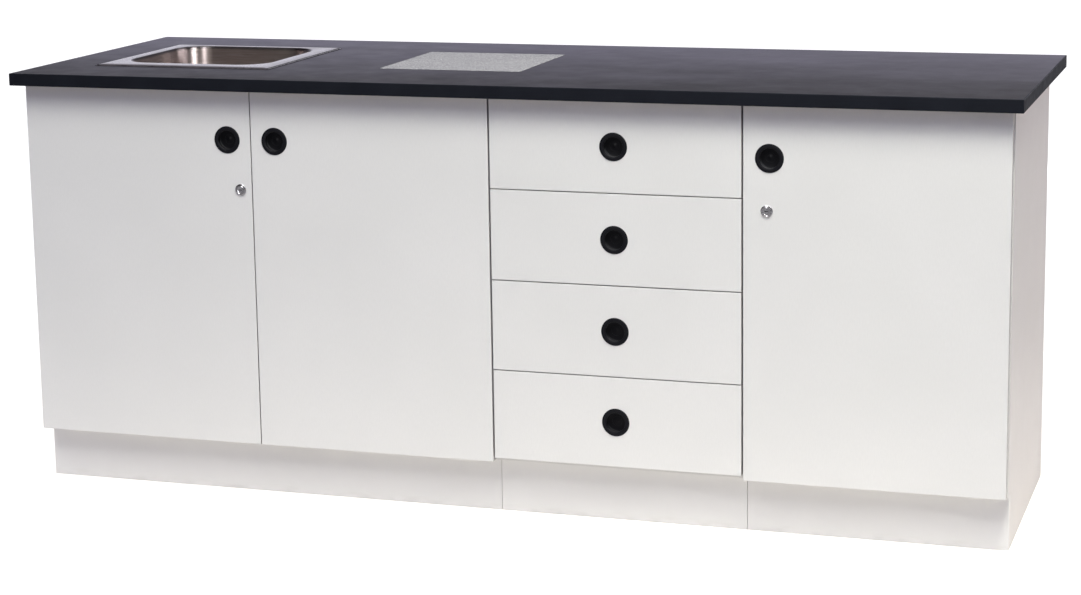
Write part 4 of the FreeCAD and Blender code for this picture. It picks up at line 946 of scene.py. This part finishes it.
def strainer():
    """The perforated disc in the waste, below the rim of its bore."""
    height = 703.4
    mesh = strainer_pattern().make("waste_strainer", spots([((*DRAIN, height), (0, 0, 1))]))
    smooth(mesh, 30)
    put("waste_strainer", mesh, "cabinets", "waste_chrome")


pressed_sink()
rim_bead()
for front in DOORS + DRAWERS:
    finger_pull(front + "_pull", front)
for door in ("door_left", "cupboard_door"):
    lock_ring(door + "_lock_housing", door)
bottle_trap()
strainer()
drilled_sides()
set_screws()
set_bumpers()


# ---------------------------------------------------------------- floor, light and camera

def studio_floor():
    """A plain pale floor that keeps a soft shadow and goes on past the view."""
    made = bmesh.new()
    bmesh.ops.create_grid(made, x_segments=1, y_segments=1, size=60.0)
    mesh = plain(made, "studio_floor")
    floor = bpy.data.objects.new("studio_floor", mesh)
    bpy.context.scene.collection.objects.link(floor)
    floor.location.z = -0.0005
    paper = Finish("studio_paper", Roughness=0.9, Specular_IOR_Level=0.0)
    squares = []
    for axis, half in (("X", 1.0), ("Y", 0.33)):
        past = paper.math("SUBTRACT", paper.math("ABSOLUTE", paper.at(axis)), half)
        squares.append(paper.math("POWER", paper.math("MAXIMUM", past, 0.0), 2.0))
    reach = paper.math("SQRT", paper.math("ADD", *squares))
    away = paper.spread(reach, 0.0, 1.0, 0.35, 1.3)
    paper.feed("Base Color", paper.blend(away, (0.74, 0.71, 0.665), (0.20, 0.20, 0.21)))
    rays = paper.add("LightPath")
    seen = paper.math("MAXIMUM", rays["Is Camera Ray"], rays["Is Transmission Ray"])
    white = paper.math("MULTIPLY", seen, paper.spread(away, 0.60, 1.0, 0, 1))
    mirrored = paper.math("MULTIPLY", rays["Is Glossy Ray"], 0.40)
    paper.feed("Emission Color", (1.0, 1.0, 1.0, 1.0))
    paper.feed("Emission Strength", paper.math("ADD", white, mirrored))
    mesh.materials.append(paper.material)


def hang(name, light, place, aim):
    """Hang a lamp at place so that it looks at aim."""
    lamp = bpy.data.objects.new(name, light)
    lamp.location = place
    lamp.rotation_euler = (Vector(aim) - Vector(place)).to_track_quat("-Z", "Y").to_euler()
    bpy.context.scene.collection.objects.link(lamp)
    return lamp


def soft_lamp(name, place, aim, width, height, power, colour, only_gleams=False):
    """An oval soft lamp, width by height in metres, that looks from place to aim.

    One that only gleams is mirrored in shiny surfaces and lights nothing else.
    """
    light = bpy.data.lights.new(name, "AREA")
    light.shape = "ELLIPSE"
    light.size = width
    light.size_y = height
    light.energy = power
    light.color = colour
    hang(name, light, place, aim).visible_diffuse = not only_gleams


def studio_surround():
    """White behind the bench; dim as a light, and mirrored brighter low down and behind."""
    world = bpy.data.worlds.new("studio")
    bpy.context.scene.world = world
    world.use_nodes = True
    tree = world.node_tree

    def step(kind, inputs=None, **settings):
        """The outputs of a new node of the surround."""
        return new_node(tree, "ShaderNode" + kind, inputs, **settings)

    def ramp(value, start, end, low, high):
        """A number that goes from low to high as the value goes from start to end."""
        return step("MapRange", {"Value": value, "From Min": start, "From Max": end,
                                 "To Min": low, "To Max": high})[0]

    rays = step("LightPath")
    direct = step("Math", {0: rays["Is Camera Ray"], 1: rays["Is Transmission Ray"]},
                  operation="MAXIMUM")[0]
    way = step("SeparateXYZ", {0: step("TexCoord")["Generated"]})
    mirrored = ramp(way["Y"], -0.5, 0.4, 0.07, 0.74)
    for fade in (ramp(way["Z"], 0.14, 0.36, 1.0, 0.18), ramp(way["X"], 0.2, 0.5, 1.0, 0.3)):
        mirrored = step("Math", {0: mirrored, 1: fade}, operation="MULTIPLY")[0]
    strength = step("Mix", {0: rays["Is Glossy Ray"], 2: 0.20, 3: mirrored})[0]
    tint = step("Mix", {0: rays["Is Glossy Ray"], 6: (0.86, 0.84, 1.42, 1.0),
                        7: (0.96, 0.94, 1.07, 1.0)}, data_type="RGBA")[2]
    sky = tree.nodes["Background"].inputs
    tree.links.new(step("Mix", {0: direct, 2: strength, 3: 1.0})[0], sky["Strength"])
    tree.links.new(step("Mix", {0: direct, 6: tint, 7: (1.0, 1.0, 1.0, 1.0)},
                        data_type="RGBA")[2], sky["Color"])


def studio_light():
    """A broad high key, soft fills low round the bench, and strips that gleam in the sink."""
    key = bpy.data.lights.new("key", "SUN")
    key.energy = 2.05
    key.angle = math.radians(36)
    key.color = (1.0, 1.0, 0.945)
    hang("key", key, (-0.1, -1.0, 1.7), (0, 0, 0))
    soft_lamp("near_key", (1.35, -1.4, 3.2), (0.6, -0.33, 0.6), 1.0, 1.0, 68, (1.0, 1.0, 0.89))
    soft_lamp("right_fill", (4.2, 0.6, 0.32), (1.0, 0.0, 0.25), 3.0, 0.6, 22, (1.0, 0.77, 0.50))
    soft_lamp("back_fill", (-0.6, 4.2, 0.42), (0.0, 0.3, 0.4), 3.6, 0.8, 70, (1.0, 1.0, 1.0))
    soft_lamp("rear_glow", (-1.2, 0.95, 1.18), (-0.8, -0.2, 0.95), 1.3, 0.55, 0.40,
              (0.96, 0.94, 1.07))
    bowl_corner = (-0.85, 0.1, 0.8)
    for name, place, width, height, power, colour in (
            ("front_strip", (-0.35, -2.85, 2.9), 0.8, 1.8, 105, (0.97, 0.97, 1.0)),
            ("near_strip", (1.9, -1.75, 2.5), 0.9, 1.8, 165, (0.95, 0.97, 1.0)),
            ("side_strip", (2.85, 1.6, 2.2), 4.6, 1.4, 140, (1.0, 0.95, 0.97))):
        soft_lamp(name, place, bowl_corner, width, height, power, colour, True)
    soft_lamp("left_fill", (-4.2, 0.6, 0.42), (-1.0, 0.0, 0.4), 3.0, 0.8, 45, (1.0, 1.0, 1.0))


def studio_camera():
    """A long lens, from the front right and a little above the worktop."""
    lens = bpy.data.cameras.new("camera")
    lens.sensor_width = 36.0
    lens.lens = 81.55
    lens.shift_y = -0.0717
    lens.clip_end = 200.0
    camera = bpy.data.objects.new("camera", lens)
    camera.location = mm(1536.7, -4731.1, 1442.0)
    camera.rotation_euler = [math.radians(turn) for turn in (79.6852, 0.8422, 17.8866)]
    bpy.context.scene.collection.objects.link(camera)
    bpy.context.scene.camera = camera


studio_floor()
studio_surround()
studio_light()
studio_camera()
bpy.context.scene.view_settings.view_transform = "Standard"
